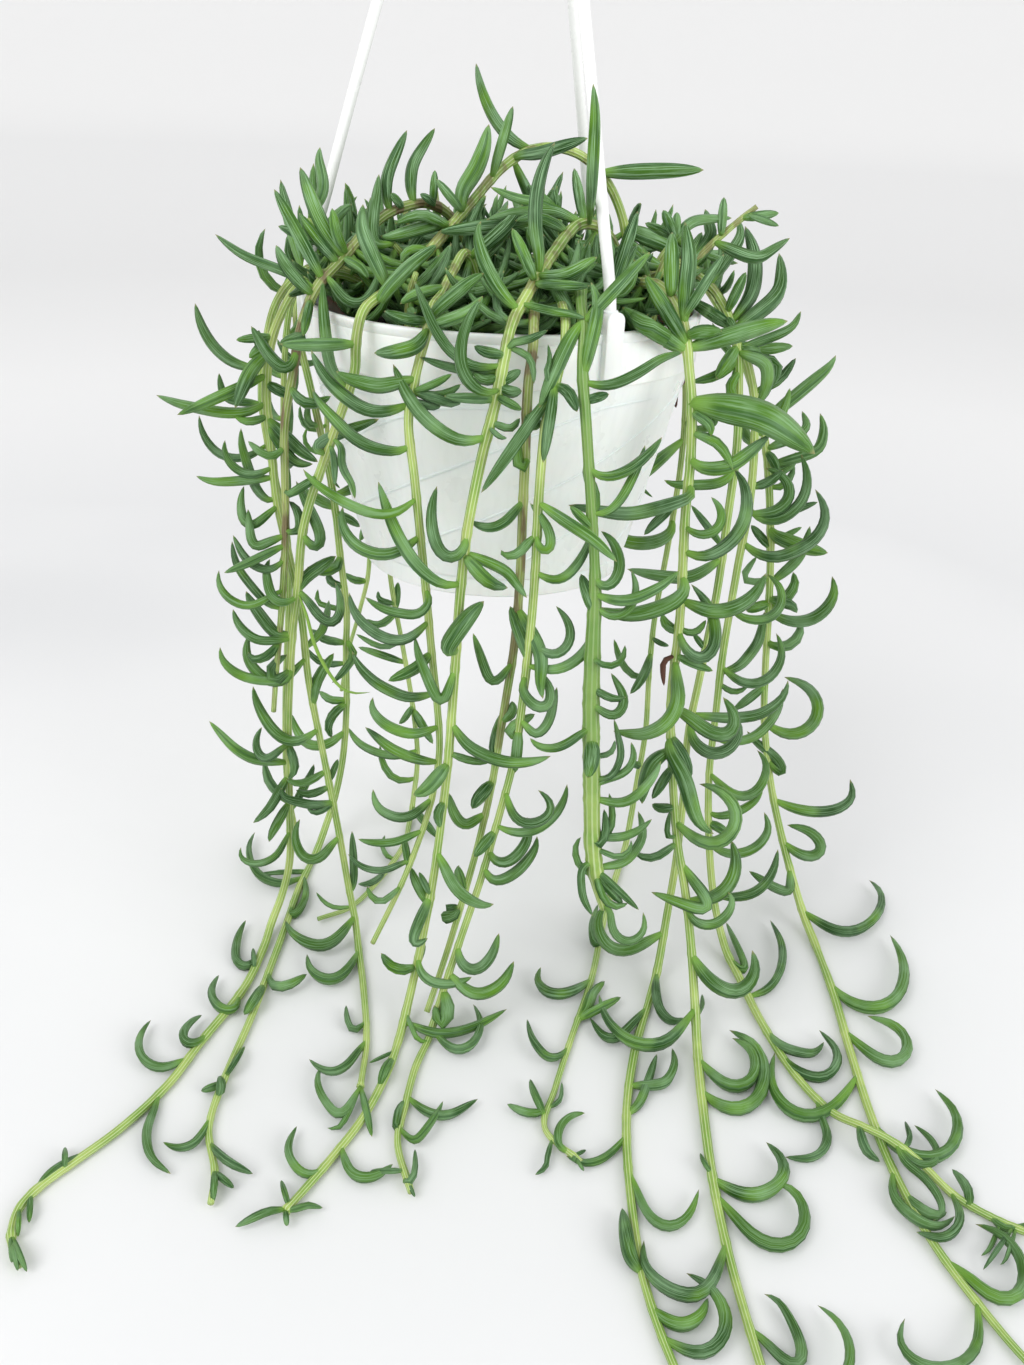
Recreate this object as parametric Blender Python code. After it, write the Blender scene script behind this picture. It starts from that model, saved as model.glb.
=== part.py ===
"""A potted string of fishhooks: a white hanging pot, its three-armed hanger, soil and leafy stems.

Lengths and routes below are in millimetres, from the centre of the rim's top plane, +Z up.
The solids are made in metres from the bearing point inside the hook, which is the origin.
Azimuths start at the viewer's side (-Y) and grow towards +X.
"""

import math
import random

import bmesh
import bpy
import numpy as np

MM = 0.001
HOOK_HEIGHT = 240.0
GAP = 0.35

# Pot
RIM_RADIUS = 75.0
BAND_HEIGHT = 18.0
BAND_TAPER = 0.6
WALL_TOP_RADIUS = 72.6
WALL_FOOT_RADIUS = 52.0
POT_HEIGHT = 100.0
FOOT_HEIGHT = 7.0
FOOT_PROUD = 0.8
POT_WALL = 1.8
POT_FLOOR = 2.0
RIM_INNER_RADIUS = 72.0
RIM_ROUND = 0.9
INNER_ROUND = 0.6
FOOT_ROUND = 0.8
BAND_UNDERCUT = 0.4
POT_SEGMENTS = 36

# Clips on the rim that hold the hanger's arms
CLIP_AZIMUTHS = {"front": 30.5, "left": -89.5, "back": 150.5}
CLIP_RADIUS = 72.75
CLIP_DEPTH = 8.5
CLIP_WIDTH = 7.0
CLIP_TOP = 7.0
CLIP_BOTTOM = -17.0
CLIP_SOCKET_DEPTH = 10.0
CLIP_SHOULDER = [(0.0, 3.0), (0.9, 0.8), (2.6, 0.0)]
CLIP_REACH = 5.6

# Hanger
ARM_RADIUS = 2.0
SOCKET_RADIUS = 2.7
ARM_BOW = [(CLIP_RADIUS, 8.0), (69.8, 20.0), (65.6, 33.0), (58.2, 57.0), (50.0, 83.0), (44.4, 100.0)]
ARM_HEAD = [(36.0, 122.0), (26.5, 146.0), (16.5, 170.0), (9.0, 186.0), (6.0, 195.0)]
ARM_STEP = 5.0
HEAD_RADIUS = 6.0
HUB_BOTTOM = 195.0
HUB_THICKNESS = 10.0
HUB_RADIUS = 11.0
HUB_SEGMENTS = 18
HUB_ROUND = 1.0
HUB_SIDE = 4.5
HUB_CROWN = [(6.0, 1.5), (3.4, 0.0)]
SOCKET_SIDES = 8
WIRE_SIDES = 8
WIRE_CHORD = 0.25
HUB_SOCKET_DEPTH = 5.0
HOOK_WIRE = 2.4
HOOK_INNER_RADIUS = 11.0
HOOK_SHANK_BEND = -52.0
HOOK_END_ANGLE = 196.0
HOOK_BEND_STEP = 12.0
HOOK_STEP = 3.0
OVERCUT = 1.0

# Soil
SOIL_EDGE = -12.0
SOIL_CROWN = -9.0
SOIL_CROWN_RADIUS = 50.0
SOIL_SEGMENTS = 24
SOIL_INSET = 0.4
HOLE_DEPTH = 12.5
HOLE_SIDES = 5
HOLE_CLEARANCE = 1.35

# Stems and leaves
FLOOR = -278.0
LYING_HEIGHT = FLOOR + 14.0
ARCH_HEIGHT = 2.0
STEM_SIDES = 4
STEM_RING_SCALE = 1.12
STEM_CHORD = 0.7
STEM_STEP = 4.0
STEM_THINNING = 0.42
STEM_THINNING_POWER = 2.2
FIRST_LEAF = 16.0
MOUND_LEAF = 38.0
TAPER_RUN = 60.0
SWAP_HANDS = 0.8
ANGLE_TRIES = (0.0, 25.0, -25.0, 50.0, -50.0, 80.0, -80.0, 115.0, -115.0, 150.0)
LEAF_SIDES = 3
LEAF_THICKNESS = 0.062
LEAF_RING_SCALE = 1.3
LEAF_FOOT = 7.0
OWN_GAP = 0.25
NEIGHBOUR_REACH = 12.0
HANGER = -1
FIRST_SEED = 100
POT_MARGIN = 0.5
FLOOR_MARGIN = 0.2
LEAF_PITCH = 32.0
MOUND_PITCH = 9.0
LYING_PITCH = 42.0
TUFT_PITCH = 5.0
TUFT_LENGTH = 16.0
LEAF_PROFILE = [(0.0, 0.0), (0.3, 0.95), (0.68, 0.9), (1.0, 0.0)]

# How leaves sit, in degrees: where they start from square to the stem, how far they turn,
# and their angle round the stem from its free side; and their size beside the usual one
HANGING = {"size": (0.86, 1.14), "start": (-38.0, -10.0), "turn": (105.0, 165.0), "angle": (45.0, 105.0)}
LYING = {"size": (0.86, 1.14), "start": (-38.0, -10.0), "turn": (130.0, 175.0), "angle": (68.0, 84.0)}
RISING = {"size": (0.84, 1.12), "start": (0.0, 38.0), "turn": (-10.0, 50.0), "angle": (10.0, 170.0)}
TUFT = {"size": (0.86, 1.14), "start": (-60.0, -60.0), "turn": (20.0, 70.0), "angle": (45.0, 105.0)}


class Stem:
    """One leafy stem: its route from the soil to its tip, thickness and leaves."""

    def __init__(self, name, route, leaf=31.0, radius=1.7, mound=False):
        self.name = name
        self.route = route
        self.leaf = leaf
        self.radius = radius
        self.mound = mound
        self.leaves = []


# Trailing stems, from the left of the pot to its right, as the viewer sees them
TRAILS = [
    Stem("trail_01", [(-42, -2), (-48, -5, 2), (-58, -9, 9), (-68, -11, 10), (-76, -12, 6),
                      (-83, -12, -3), (-87, -12, -15), (-90, -12, -32), (-90, -12, -46),
                      (-86, -16, -69), (-82, -18, -93), (-83, -16, -120), (-87, -14, -167),
                      (-89, -11, -208), (-87, -7, -236)]),
    Stem("trail_02", [(-40, -16), (-45, -19, 2), (-54, -24, 9), (-63, -28, 10), (-71, -31, 6),
                      (-77, -33, -3), (-82, -33, -16), (-84, -33, -34), (-83, -34, -50),
                      (-82, -34, -72), (-78, -34, -96), (-75, -32, -120), (-73, -32, -150),
                      (-68, -32, -185), (-63, -31, -222), (-60, -28, -252), (-57, -30, -270),
                      (-54, -42, -276), (-48, -70, -276), (-43, -100, -276), (-42, -126, -275)]),
    Stem("trail_03", [(-4, 10), (-9, 5, 6), (-16, -1, 24), (-26, -10, 33), (-39, -20, 31),
                      (-48, -28, 24), (-56, -36, 15), (-63, -42, 7), (-68, -46, -5),
                      (-71, -47, -20), (-75, -47, -39), (-76, -46, -58), (-77, -45, -80),
                      (-80, -43, -109), (-84, -42, -140), (-86, -42, -158)], radius=1.9),
    Stem("trail_04", [(46, 36), (48, 34, 4), (47, 30, 22), (40, 28, 38), (30, 24, 48),
                      (19, 18, 52), (8, 8, 51), (-2, -4, 45), (-12, -16, 34), (-22, -28, 23),
                      (-32, -40, 13), (-39, -55, 8), (-44, -64, 4), (-46, -68, -5),
                      (-47, -67, -16), (-53, -63, -32), (-60, -58, -50), (-66, -54, -66),
                      (-70, -51, -81), (-73, -47, -102), (-77, -42, -124), (-81, -36, -157),
                      (-83, -32, -183), (-85, -26, -212), (-87, -21, -243), (-91, -22, -262),
                      (-95, -31, -273), (-96, -46, -276), (-99, -73, -276), (-109, -105, -276),
                      (-116, -129, -276), (-128, -152, -276), (-148, -180, -276),
                      (-149, -196, -276), (-141, -209, -275)], radius=1.9),
    Stem("trail_05", [(-40, 16), (-46, 18, 3), (-57, 20, 10), (-66, 22, 10), (-74, 24, 6),
                      (-81, 26, -4), (-83, 27, -19), (-79, 27, -40), (-75, 28, -62),
                      (-71, 30, -88), (-69, 32, -116), (-67, 34, -145), (-68, 36, -166),
                      (-69, 40, -195), (-72, 45, -226), (-77, 48, -252), (-82, 44, -269),
                      (-85, 30, -276), (-88, 2, -276), (-89, -26, -276), (-90, -52, -276),
                      (-92, -90, -276), (-95, -124, -276), (-95, -148, -276), (-88, -168, -276),
                      (-86, -182, -275)]),
    Stem("trail_06", [(-34, 30), (-37, 33, 3), (-46, 43, 9), (-53, 52, 8), (-58, 58, 2),
                      (-62, 62, -9), (-64, 66, -40), (-61, 69, -90), (-61, 70, -135),
                      (-66, 70, -160), (-72, 70, -182), (-76, 69, -204)], radius=1.5),
    Stem("trail_07", [(-22, 40), (-25, 45, 3), (-33, 55, 9), (-40, 63, 8), (-45, 70, 1),
                      (-48, 76, -10), (-51, 80, -32), (-54, 85, -70), (-54, 88, -110),
                      (-53, 88, -148), (-47, 88, -186), (-42, 88, -219), (-39, 86, -249),
                      (-40, 76, -268), (-41, 62, -276), (-42, 40, -276), (-50, 12, -276),
                      (-61, -12, -276), (-75, -24, -275)], radius=1.5),
    Stem("trail_08", [(-4, -24), (-8, -28, 8), (-12, -36, 20), (-16, -48, 15), (-19, -61, 9),
                      (-21, -71, 7), (-22, -78, 0), (-25, -83, -12), (-27, -87, -26),
                      (-25, -88, -44), (-23, -88, -64), (-21, -86, -86), (-19, -86, -108),
                      (-17, -84, -130), (-16, -84, -150), (-19, -84, -172), (-24, -84, -191),
                      (-31, -84, -212), (-42, -83, -240)]),
    Stem("trail_09", [(44, 4), (44, 2, 4), (42, -6, 17), (36, -18, 27), (26, -30, 30),
                      (17, -52, 22), (9, -69, 11), (5, -79, 4), (3, -85, -6), (1, -89, -18),
                      (-3, -92, -36), (-7, -94, -60), (-9, -94, -84), (-10, -94, -106),
                      (-12, -92, -145), (-14, -90, -170), (-17, -88, -200), (-21, -84, -230),
                      (-25, -80, -256), (-28, -85, -271), (-30, -98, -276), (-33, -118, -276),
                      (-39, -140, -276), (-48, -160, -276), (-60, -184, -275)], radius=2.0),
    Stem("trail_10", [(12, -40), (12, -46, -3), (12, -58, 4), (12, -68, 7), (12, -75, 4),
                      (12, -80, -3), (11, -84, -14), (11, -86, -30), (11, -86, -55),
                      (11, -86, -80), (10, -84, -106), (7, -82, -135), (4, -79, -164),
                      (0, -77, -190), (-5, -75, -216), (-11, -74, -244), (-16, -75, -264),
                      (-20, -83, -275)], radius=1.8),
    Stem("trail_11", [(22, -40), (21, -44, 2), (21, -56, 8), (21, -68, 9), (22, -76, 6),
                      (22, -82, -1), (20, -88, -10), (17, -92, -24), (16, -94, -48),
                      (16, -94, -74), (15, -92, -104), (12, -90, -145), (7, -88, -174),
                      (1, -86, -204), (-5, -86, -228), (-11, -86, -252), (-15, -88, -268),
                      (-18, -97, -276), (-22, -114, -276), (-24, -134, -276), (-25, -152, -276),
                      (-18, -174, -275)]),
    Stem("trail_12", [(30, -30), (30, -36, 4), (28, -50, 11), (27, -62, 13), (27, -72, 10),
                      (28, -80, 3), (28, -86, -8), (30, -91, -24), (33, -94, -48), (36, -95, -74),
                      (37, -95, -100), (38, -95, -124), (40, -94, -150), (42, -93, -176),
                      (45, -92, -198), (49, -91, -212)], radius=2.0, leaf=33.0),
    Stem("trail_13", [(36, 32), (40, 35, 3), (50, 41, 9), (59, 46, 9), (66, 50, 3), (72, 53, -6),
                      (77, 57, -22), (81, 60, -50), (82, 62, -80), (80, 62, -116), (77, 62, -155),
                      (77, 62, -185), (78, 62, -216), (76, 60, -243), (74, 56, -264),
                      (71, 44, -275), (65, 20, -276), (57, -16, -276), (50, -56, -276),
                      (40, -94, -276), (33, -122, -276), (29, -142, -276), (42, -158, -275)],
         radius=1.5),
    Stem("trail_14", [(34, -20), (37, -23, 3), (45, -32, 11), (53, -41, 13), (59, -47, 9),
                      (63, -52, 1), (65, -57, -10), (67, -62, -24), (68, -65, -42), (68, -66, -60),
                      (70, -66, -100), (70, -66, -134), (74, -66, -168), (78, -69, -194),
                      (83, -73, -216), (87, -77, -238), (90, -84, -260), (91, -97, -274),
                      (90, -120, -276), (89, -158, -276), (90, -190, -276), (93, -220, -276),
                      (97, -248, -276), (102, -272, -275)], radius=1.9),
    Stem("trail_15", [(40, -6), (44, -7, 4), (55, -8, 12), (66, -9, 14), (75, -11, 10),
                      (82, -13, 2), (87, -17, -9), (89, -22, -24), (90, -28, -46), (89, -32, -74),
                      (88, -34, -103), (85, -36, -137), (83, -36, -164), (84, -36, -195),
                      (84, -37, -225), (82, -41, -254), (79, -52, -271), (75, -66, -276),
                      (66, -98, -276), (60, -134, -276), (59, -170, -276), (61, -204, -276),
                      (68, -234, -276), (77, -258, -275)], radius=1.8),
    Stem("trail_16", [(44, 12), (48, 12, 4), (58, 11, 12), (68, 9, 14), (77, 7, 9), (84, 6, 1),
                      (91, 4, -11), (97, 2, -24), (101, 0, -42), (103, 0, -74), (101, -2, -104),
                      (99, -5, -140), (99, -6, -170), (99, -9, -200), (102, -14, -232),
                      (106, -22, -257), (111, -35, -273), (115, -50, -276), (120, -78, -276),
                      (128, -107, -276), (138, -128, -275), (148, -139, -271.6),
                      (156, -145, -271.2), (165, -153, -273), (174, -164, -276), (184, -173, -276),
                      (196, -181, -275)], radius=1.8),
    Stem("trail_17", [(44, 26), (48, 27, 4), (58, 27, 11), (67, 28, 13), (76, 28, 8), (84, 28, -1),
                      (93, 27, -14), (101, 25, -30), (108, 22, -48), (113, 20, -68),
                      (118, 19, -100), (121, 18, -130), (123, 17, -158), (126, 16, -185),
                      (132, 12, -214), (139, 5, -238), (146, -2, -258), (151, -12, -271),
                      (154, -26, -276), (155, -60, -276), (154, -98, -276), (154, -130, -276),
                      (156, -158, -276), (162, -188, -276), (173, -217, -276), (183, -238, -275)],
         radius=1.8),
    Stem("trail_18", [(-38, 4), (-44, 5, 3), (-55, 6, 8), (-66, 7, 10), (-75, 8, 5), (-81, 8, -5),
                      (-84, 8, -20), (-86, 7, -45), (-87, 6, -80), (-86, 4, -112)], radius=1.5),
    Stem("trail_19", [(-10, 46), (-12, 50, 3), (-16, 61, 9), (-19, 71, 8), (-22, 79, 0),
                      (-24, 84, -14), (-25, 87, -45), (-25, 88, -85), (-24, 88, -110)], radius=1.5),
    Stem("trail_20", [(4, 44), (5, 49, 3), (6, 61, 9), (6, 72, 7), (7, 79, -1), (7, 84, -15),
                      (6, 87, -45), (5, 88, -86)], radius=1.5),
    Stem("trail_21", [(16, 44), (17, 49, 3), (20, 60, 9), (23, 70, 8), (26, 77, 0), (28, 82, -13),
                      (30, 85, -45), (31, 86, -85), (31, 86, -114)], radius=1.5),
    Stem("trail_22", [(26, 34), (31, 39, 3), (40, 48, 9), (48, 56, 8), (53, 62, 0), (57, 67, -13),
                      (60, 70, -45), (61, 71, -92)], radius=1.5),
    Stem("trail_23", [(-44, 30), (-48, 32, 3), (-56, 37, 9), (-64, 43, 8), (-69, 46, 1),
                      (-73, 49, -11), (-76, 51, -42), (-76, 52, -92)], radius=1.5),
]

# Short leafy shoots that make the mound over the pot
SHOOTS = [
    Stem("shoot_01", [(-50, -14), (-54, -16, 4), (-62, -19, 16), (-68, -21, 28)], mound=True),
    Stem("shoot_02", [(-30, 14), (-31, 14, 4), (-34, 14, 16), (-38, 13, 29)], mound=True),
    Stem("shoot_03", [(-24, 30), (-24, 31, 4), (-26, 34, 18), (-28, 36, 34)], mound=True),
    Stem("shoot_04", [(-26, -18), (-28, -19, 4), (-33, -22, 14), (-38, -27, 21)], mound=True),
    Stem("shoot_05", [(-12, 24), (-12, 25, 5), (-11, 27, 22), (-9, 30, 38)], mound=True),
    Stem("shoot_06", [(-6, -34), (-6, -37, 4), (-4, -46, 10), (-1, -55, 14)], mound=True),
    Stem("shoot_07", [(14, -14), (14, -15, 5), (13, -19, 20), (11, -24, 30)], mound=True),
    Stem("shoot_08", [(24, 6), (24, 6, 5), (22, 5, 20), (19, 4, 32)], mound=True),
    Stem("shoot_09", [(50, -26), (52, -27, 4), (56, -28, 16), (60, -28, 27)], mound=True),
    Stem("shoot_10", [(54, -18), (57, -20, 4), (66, -24, 17), (76, -26, 28), (87, -27, 38)],
         mound=True),
    Stem("shoot_11", [(54, 20), (56, 20, 4), (62, 20, 17), (70, 19, 28)], mound=True),
    Stem("shoot_12", [(12, 30), (12, 31, 5), (13, 36, 20), (14, 42, 34)], mound=True),
    Stem("shoot_13", [(-20, 4), (-21, 3, 5), (-23, 0, 14), (-25, -4, 21)], mound=True),
    Stem("shoot_14", [(-30, -52), (-30, -53, 3), (-29, -57, 10), (-27, -61, 16)], mound=True),
    Stem("shoot_15", [(38, -46), (38, -47, 3), (38, -49, 10), (36, -50, 17)], mound=True),
]

STEMS = TRAILS + SHOOTS


def clear_scene():
    for old in list(bpy.data.objects):
        bpy.data.objects.remove(old, do_unlink=True)


def world(point):
    """A point in millimetres from the rim, as metres from the hook."""
    return (point[0] * MM, point[1] * MM, (point[2] - HOOK_HEIGHT) * MM)


def around(azimuth, radius, height):
    """The point at this azimuth and radius from the pot's axis."""
    angle = math.radians(azimuth)
    return (radius * math.sin(angle), -radius * math.cos(angle), height)


def unit(vector):
    return vector / np.linalg.norm(vector)


def material(name, colour, roughness, metallic=0.0):
    made = bpy.data.materials.new(name)
    made.use_nodes = True
    shader = made.node_tree.nodes["Principled BSDF"]
    shader.inputs["Base Color"].default_value = (*colour, 1.0)
    shader.inputs["Roughness"].default_value = roughness
    shader.inputs["Metallic"].default_value = metallic
    return made


def mesh_object(name, points, faces, look):
    """An object from points in millimetres from the rim."""
    mesh = bpy.data.meshes.new(name)
    mesh.from_pydata([world(point) for point in points], [], faces)
    mesh.update()
    made = bpy.data.objects.new(name, mesh)
    bpy.context.collection.objects.link(made)
    if look:
        mesh.materials.append(look)
    return made


def outward(made):
    """Recalculate the normals so that they point out."""
    work = bmesh.new()
    work.from_mesh(made.data)
    bmesh.ops.recalc_face_normals(work, faces=work.faces)
    work.to_mesh(made.data)
    work.free()
    return made


def turned(name, outline, segments, look):
    """A closed solid turned round the pot's axis from an outline that starts and ends on it."""
    points = [(0.0, 0.0, outline[0][1])]
    for step in range(segments):
        azimuth = 360.0 * step / segments
        points += [around(azimuth, radius, height) for radius, height in outline[1:-1]]
    points.append((0.0, 0.0, outline[-1][1]))
    rings = len(outline) - 2
    last = len(points) - 1
    faces = []
    for step in range(segments):
        here = 1 + step * rings
        there = 1 + (step + 1) % segments * rings
        faces.append((0, here, there))
        faces += [(here + i, here + i + 1, there + i + 1, there + i) for i in range(rings - 1)]
        faces.append((here + rings - 1, last, there + rings - 1))
    return outward(mesh_object(name, points, faces, look))


def ring_frame(tangent, old_side):
    """Two directions square to the tangent that turn as little as possible from the last ring's."""
    side = unit(old_side - tangent * np.dot(old_side, tangent))
    return side, np.cross(tangent, side)


def tube(name, centres, radii, sides, look):
    """A closed tube through the centres, with flat ends."""
    centres = np.asarray(centres, float)
    tangents = route_tangents(centres)
    side = first_side(tangents[0])
    points = []
    for centre, tangent, radius in zip(centres, tangents, radii):
        side, other = ring_frame(tangent, side)
        points += ring(centre, side, other, radius, sides)
    faces = [tuple(range(sides - 1, -1, -1))]
    for low in range(0, len(points) - sides, sides):
        faces += wall(low, sides)
    faces.append(tuple(range(len(points) - sides, len(points))))
    return mesh_object(name, points, faces, look)


def spindle(name, centres, radii, sides):
    """A closed blade through the centres that ends in a point at each end."""
    tangents = route_tangents(centres)
    side = first_side(tangents[0])
    points = []
    for centre, tangent, radius in zip(centres[1:-1], tangents[1:-1], radii[1:-1]):
        side, other = ring_frame(tangent, side)
        points += ring(centre, side, other, radius, sides)
    faces = []
    for low in range(0, len(points) - sides, sides):
        faces += wall(low, sides)
    foot = len(points)
    last = foot - sides
    points += [centres[0], centres[-1]]
    faces += [(foot, (k + 1) % sides, k) for k in range(sides)]
    faces += [(foot + 1, last + k, last + (k + 1) % sides) for k in range(sides)]
    return mesh_object(name, points, faces, None)


def first_side(tangent):
    return np.array([0.0, 0.0, 1.0]) if abs(tangent[2]) < 0.8 else np.array([1.0, 0.0, 0.0])


def ring(centre, side, other, radius, sides):
    turns = [2 * math.pi * k / sides for k in range(sides)]
    return [centre + radius * (math.cos(turn) * side + math.sin(turn) * other) for turn in turns]


def wall(low, sides):
    """The faces between one ring, whose points start at low, and the next."""
    pairs = [(low + k, low + (k + 1) % sides) for k in range(sides)]
    return [(here, after, after + sides, here + sides) for here, after in pairs]


def route_tangents(centres):
    """The direction of a route at each of its points."""
    ends = np.vstack([centres[1:2], centres[2:], centres[-1:]])
    starts = np.vstack([centres[:1], centres[:-2], centres[-2:-1]])
    steps = ends - starts
    return steps / np.linalg.norm(steps, axis=1)[:, None]


def smooth_route(points, step):
    """Evenly spaced points on a Catmull-Rom curve through the given ones."""
    given = np.asarray(points, float)
    padded = np.vstack([2 * given[0] - given[1], given, 2 * given[-1] - given[-2]])
    share = np.linspace(0.0, 1.0, 16, endpoint=False)[:, None]
    dense = []
    for a, b, c, d in zip(padded, padded[1:], padded[2:], padded[3:]):
        line = 2 * b + (c - a) * share + (2 * a - 5 * b + 4 * c - d) * share**2
        dense.append(0.5 * (line + (3 * b - 3 * c + d - a) * share**3))
    dense = np.vstack(dense + [given[-1:]])
    walked = np.concatenate([[0.0], np.cumsum(np.linalg.norm(np.diff(dense, axis=0), axis=1))])
    even = np.linspace(0.0, walked[-1], max(2, round(walked[-1] / step) + 1))
    return np.stack([np.interp(even, walked, dense[:, axis]) for axis in range(3)], axis=1)


def thinned(points, chord):
    """The indices of the points that keep a polyline within the chord of the full one."""
    if len(points) < 3:
        return [0, len(points) - 1]
    run = points[-1] - points[0]
    away = points[1:-1] - points[0]
    along = np.clip(away @ run / (run @ run), 0.0, 1.0)[:, None]
    off = np.linalg.norm(away - along * run, axis=1)
    worst = int(off.argmax()) + 1
    if off[worst - 1] <= chord:
        return [0, len(points) - 1]
    left = thinned(points[: worst + 1], chord)
    right = thinned(points[worst:], chord)
    return left[:-1] + [worst + i for i in right]


def joined(base, pieces):
    """The base object fused with the pieces by one Boolean union, and the pieces removed."""
    group = bpy.data.collections.new(base.name + "_pieces")
    bpy.context.scene.collection.children.link(group)
    for piece in pieces:
        bpy.context.collection.objects.unlink(piece)
        group.objects.link(piece)
    union = base.modifiers.new("join", "BOOLEAN")
    union.operation = "UNION"
    union.operand_type = "COLLECTION"
    union.collection = group
    union.solver = "MANIFOLD"
    apply_modifiers(base)
    for piece in pieces:
        bpy.data.objects.remove(piece, do_unlink=True)
    bpy.data.collections.remove(group)
    return base


def cut(base, cutters):
    """The base object with each cutter taken out of it, and the cutters removed."""
    for cutter in cutters:
        hole = base.modifiers.new("cut", "BOOLEAN")
        hole.operation = "DIFFERENCE"
        hole.object = cutter
        hole.solver = "EXACT"
    apply_modifiers(base)
    for cutter in cutters:
        bpy.data.objects.remove(cutter, do_unlink=True)
    return base


def apply_modifiers(made):
    shape = made.evaluated_get(bpy.context.evaluated_depsgraph_get())
    mesh = bpy.data.meshes.new_from_object(shape)
    made.modifiers.clear()
    made.data = mesh


def post(name, centre, radius, bottom, top, sides):
    """An upright prism."""
    ends = [(centre[0], centre[1], bottom), (centre[0], centre[1], top)]
    return outward(tube(name, ends, [radius, radius], sides, None))


def wall_radius(height):
    """The outside of the pot's tapered wall at this height."""
    share = (-BAND_HEIGHT - height) / (POT_HEIGHT - BAND_HEIGHT)
    return WALL_TOP_RADIUS + (WALL_FOOT_RADIUS - WALL_TOP_RADIUS) * share


def clip_block(name, azimuth):
    """A clip: an upright block with rounded shoulders across the rim."""
    half = CLIP_WIDTH / 2
    shoulder = [(inset - half, CLIP_TOP - drop) for inset, drop in CLIP_SHOULDER]
    outline = [(-half, CLIP_BOTTOM)] + shoulder + [(-x, z) for x, z in reversed(shoulder)]
    outline.append((half, CLIP_BOTTOM))
    angle = math.radians(azimuth)
    radial = np.array([math.sin(angle), -math.cos(angle), 0.0])
    across = np.array([math.cos(angle), math.sin(angle), 0.0])
    points = []
    for depth in (CLIP_RADIUS - CLIP_DEPTH / 2, CLIP_RADIUS + CLIP_DEPTH / 2):
        points += [radial * depth + across * x + np.array([0.0, 0.0, z]) for x, z in outline]
    count = len(outline)
    faces = [tuple(range(count)), tuple(range(2 * count - 1, count - 1, -1))]
    faces += [(i, (i + 1) % count, count + (i + 1) % count, count + i) for i in range(count)]
    return outward(mesh_object(name, points, faces, None))


def make_pot():
    plastic = material("pot_plastic", (0.86, 0.87, 0.87), 0.35)
    foot = WALL_FOOT_RADIUS + FOOT_PROUD
    band_foot = RIM_RADIUS - BAND_TAPER
    step = -POT_HEIGHT + FOOT_HEIGHT
    inner_floor = -POT_HEIGHT + POT_FLOOR
    outline = [
        (0.0, -POT_HEIGHT),
        (foot - FOOT_ROUND, -POT_HEIGHT),
        (foot, -POT_HEIGHT + FOOT_ROUND),
        (foot, step),
        (wall_radius(step + FOOT_ROUND), step + FOOT_ROUND),
        (WALL_TOP_RADIUS, -BAND_HEIGHT - BAND_UNDERCUT),
        (band_foot, -BAND_HEIGHT),
        (RIM_RADIUS, -RIM_ROUND),
        (RIM_RADIUS - RIM_ROUND, 0.0),
        (RIM_INNER_RADIUS + INNER_ROUND, 0.0),
        (RIM_INNER_RADIUS, -INNER_ROUND),
        (WALL_TOP_RADIUS - POT_WALL, -BAND_HEIGHT),
        (wall_radius(inner_floor) - POT_WALL, inner_floor),
        (0.0, inner_floor),
    ]
    pot = turned("pot", outline, POT_SEGMENTS, plastic)
    clips = [clip_block("clip_" + side, azimuth) for side, azimuth in CLIP_AZIMUTHS.items()]
    joined(pot, clips)
    sockets = []
    for side, azimuth in CLIP_AZIMUTHS.items():
        centre = around(azimuth, CLIP_RADIUS, 0.0)
        bottom = CLIP_TOP - CLIP_SOCKET_DEPTH
        top = CLIP_TOP + OVERCUT
        sockets.append(post("socket_" + side, centre, SOCKET_RADIUS, bottom, top, SOCKET_SIDES))
    return cut(pot, sockets)


def make_soil():
    peat = material("soil_peat", (0.035, 0.025, 0.018), 0.95)
    bottom = -POT_HEIGHT + POT_FLOOR + GAP
    clear = POT_WALL + GAP
    within_clips = CLIP_RADIUS - CLIP_DEPTH / 2 - GAP - SOIL_INSET
    outline = [
        (0.0, bottom),
        (wall_radius(bottom) - clear - SOIL_INSET, bottom),
        (wall_radius(-BAND_HEIGHT) - clear - SOIL_INSET, -BAND_HEIGHT),
        (within_clips, -BAND_HEIGHT + SOIL_INSET),
        (within_clips, SOIL_EDGE),
        (SOIL_CROWN_RADIUS, SOIL_CROWN),
        (0.0, SOIL_CROWN),
    ]
    soil = turned("soil", outline, SOIL_SEGMENTS, peat)
    holes = []
    bottom = SOIL_CROWN - HOLE_DEPTH
    for stem in STEMS:
        radius = stem.radius + HOLE_CLEARANCE
        holes.append(post("hole", stem.route[0], radius, bottom, SOIL_CROWN + OVERCUT, HOLE_SIDES))
    return cut(soil, holes)


def arm_route(azimuth):
    """The centre line of one arm, from its socket in the clip to its socket in the hub."""
    socket = [(CLIP_RADIUS, CLIP_TOP - CLIP_SOCKET_DEPTH + GAP)]
    head = [(HEAD_RADIUS, HUB_BOTTOM + HUB_SOCKET_DEPTH - GAP)]
    whole = socket + ARM_BOW + ARM_HEAD + head
    return smooth_route([around(azimuth, radius, height) for radius, height in whole], ARM_STEP)


def make_arms():
    plastic = material("hanger_plastic", (0.9, 0.9, 0.9), 0.3)
    for side, azimuth in CLIP_AZIMUTHS.items():
        route = arm_route(azimuth)
        keep = thinned(route, WIRE_CHORD)
        tube("hanger_arm_" + side, route[keep], [ARM_RADIUS] * len(keep), WIRE_SIDES, plastic)


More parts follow.
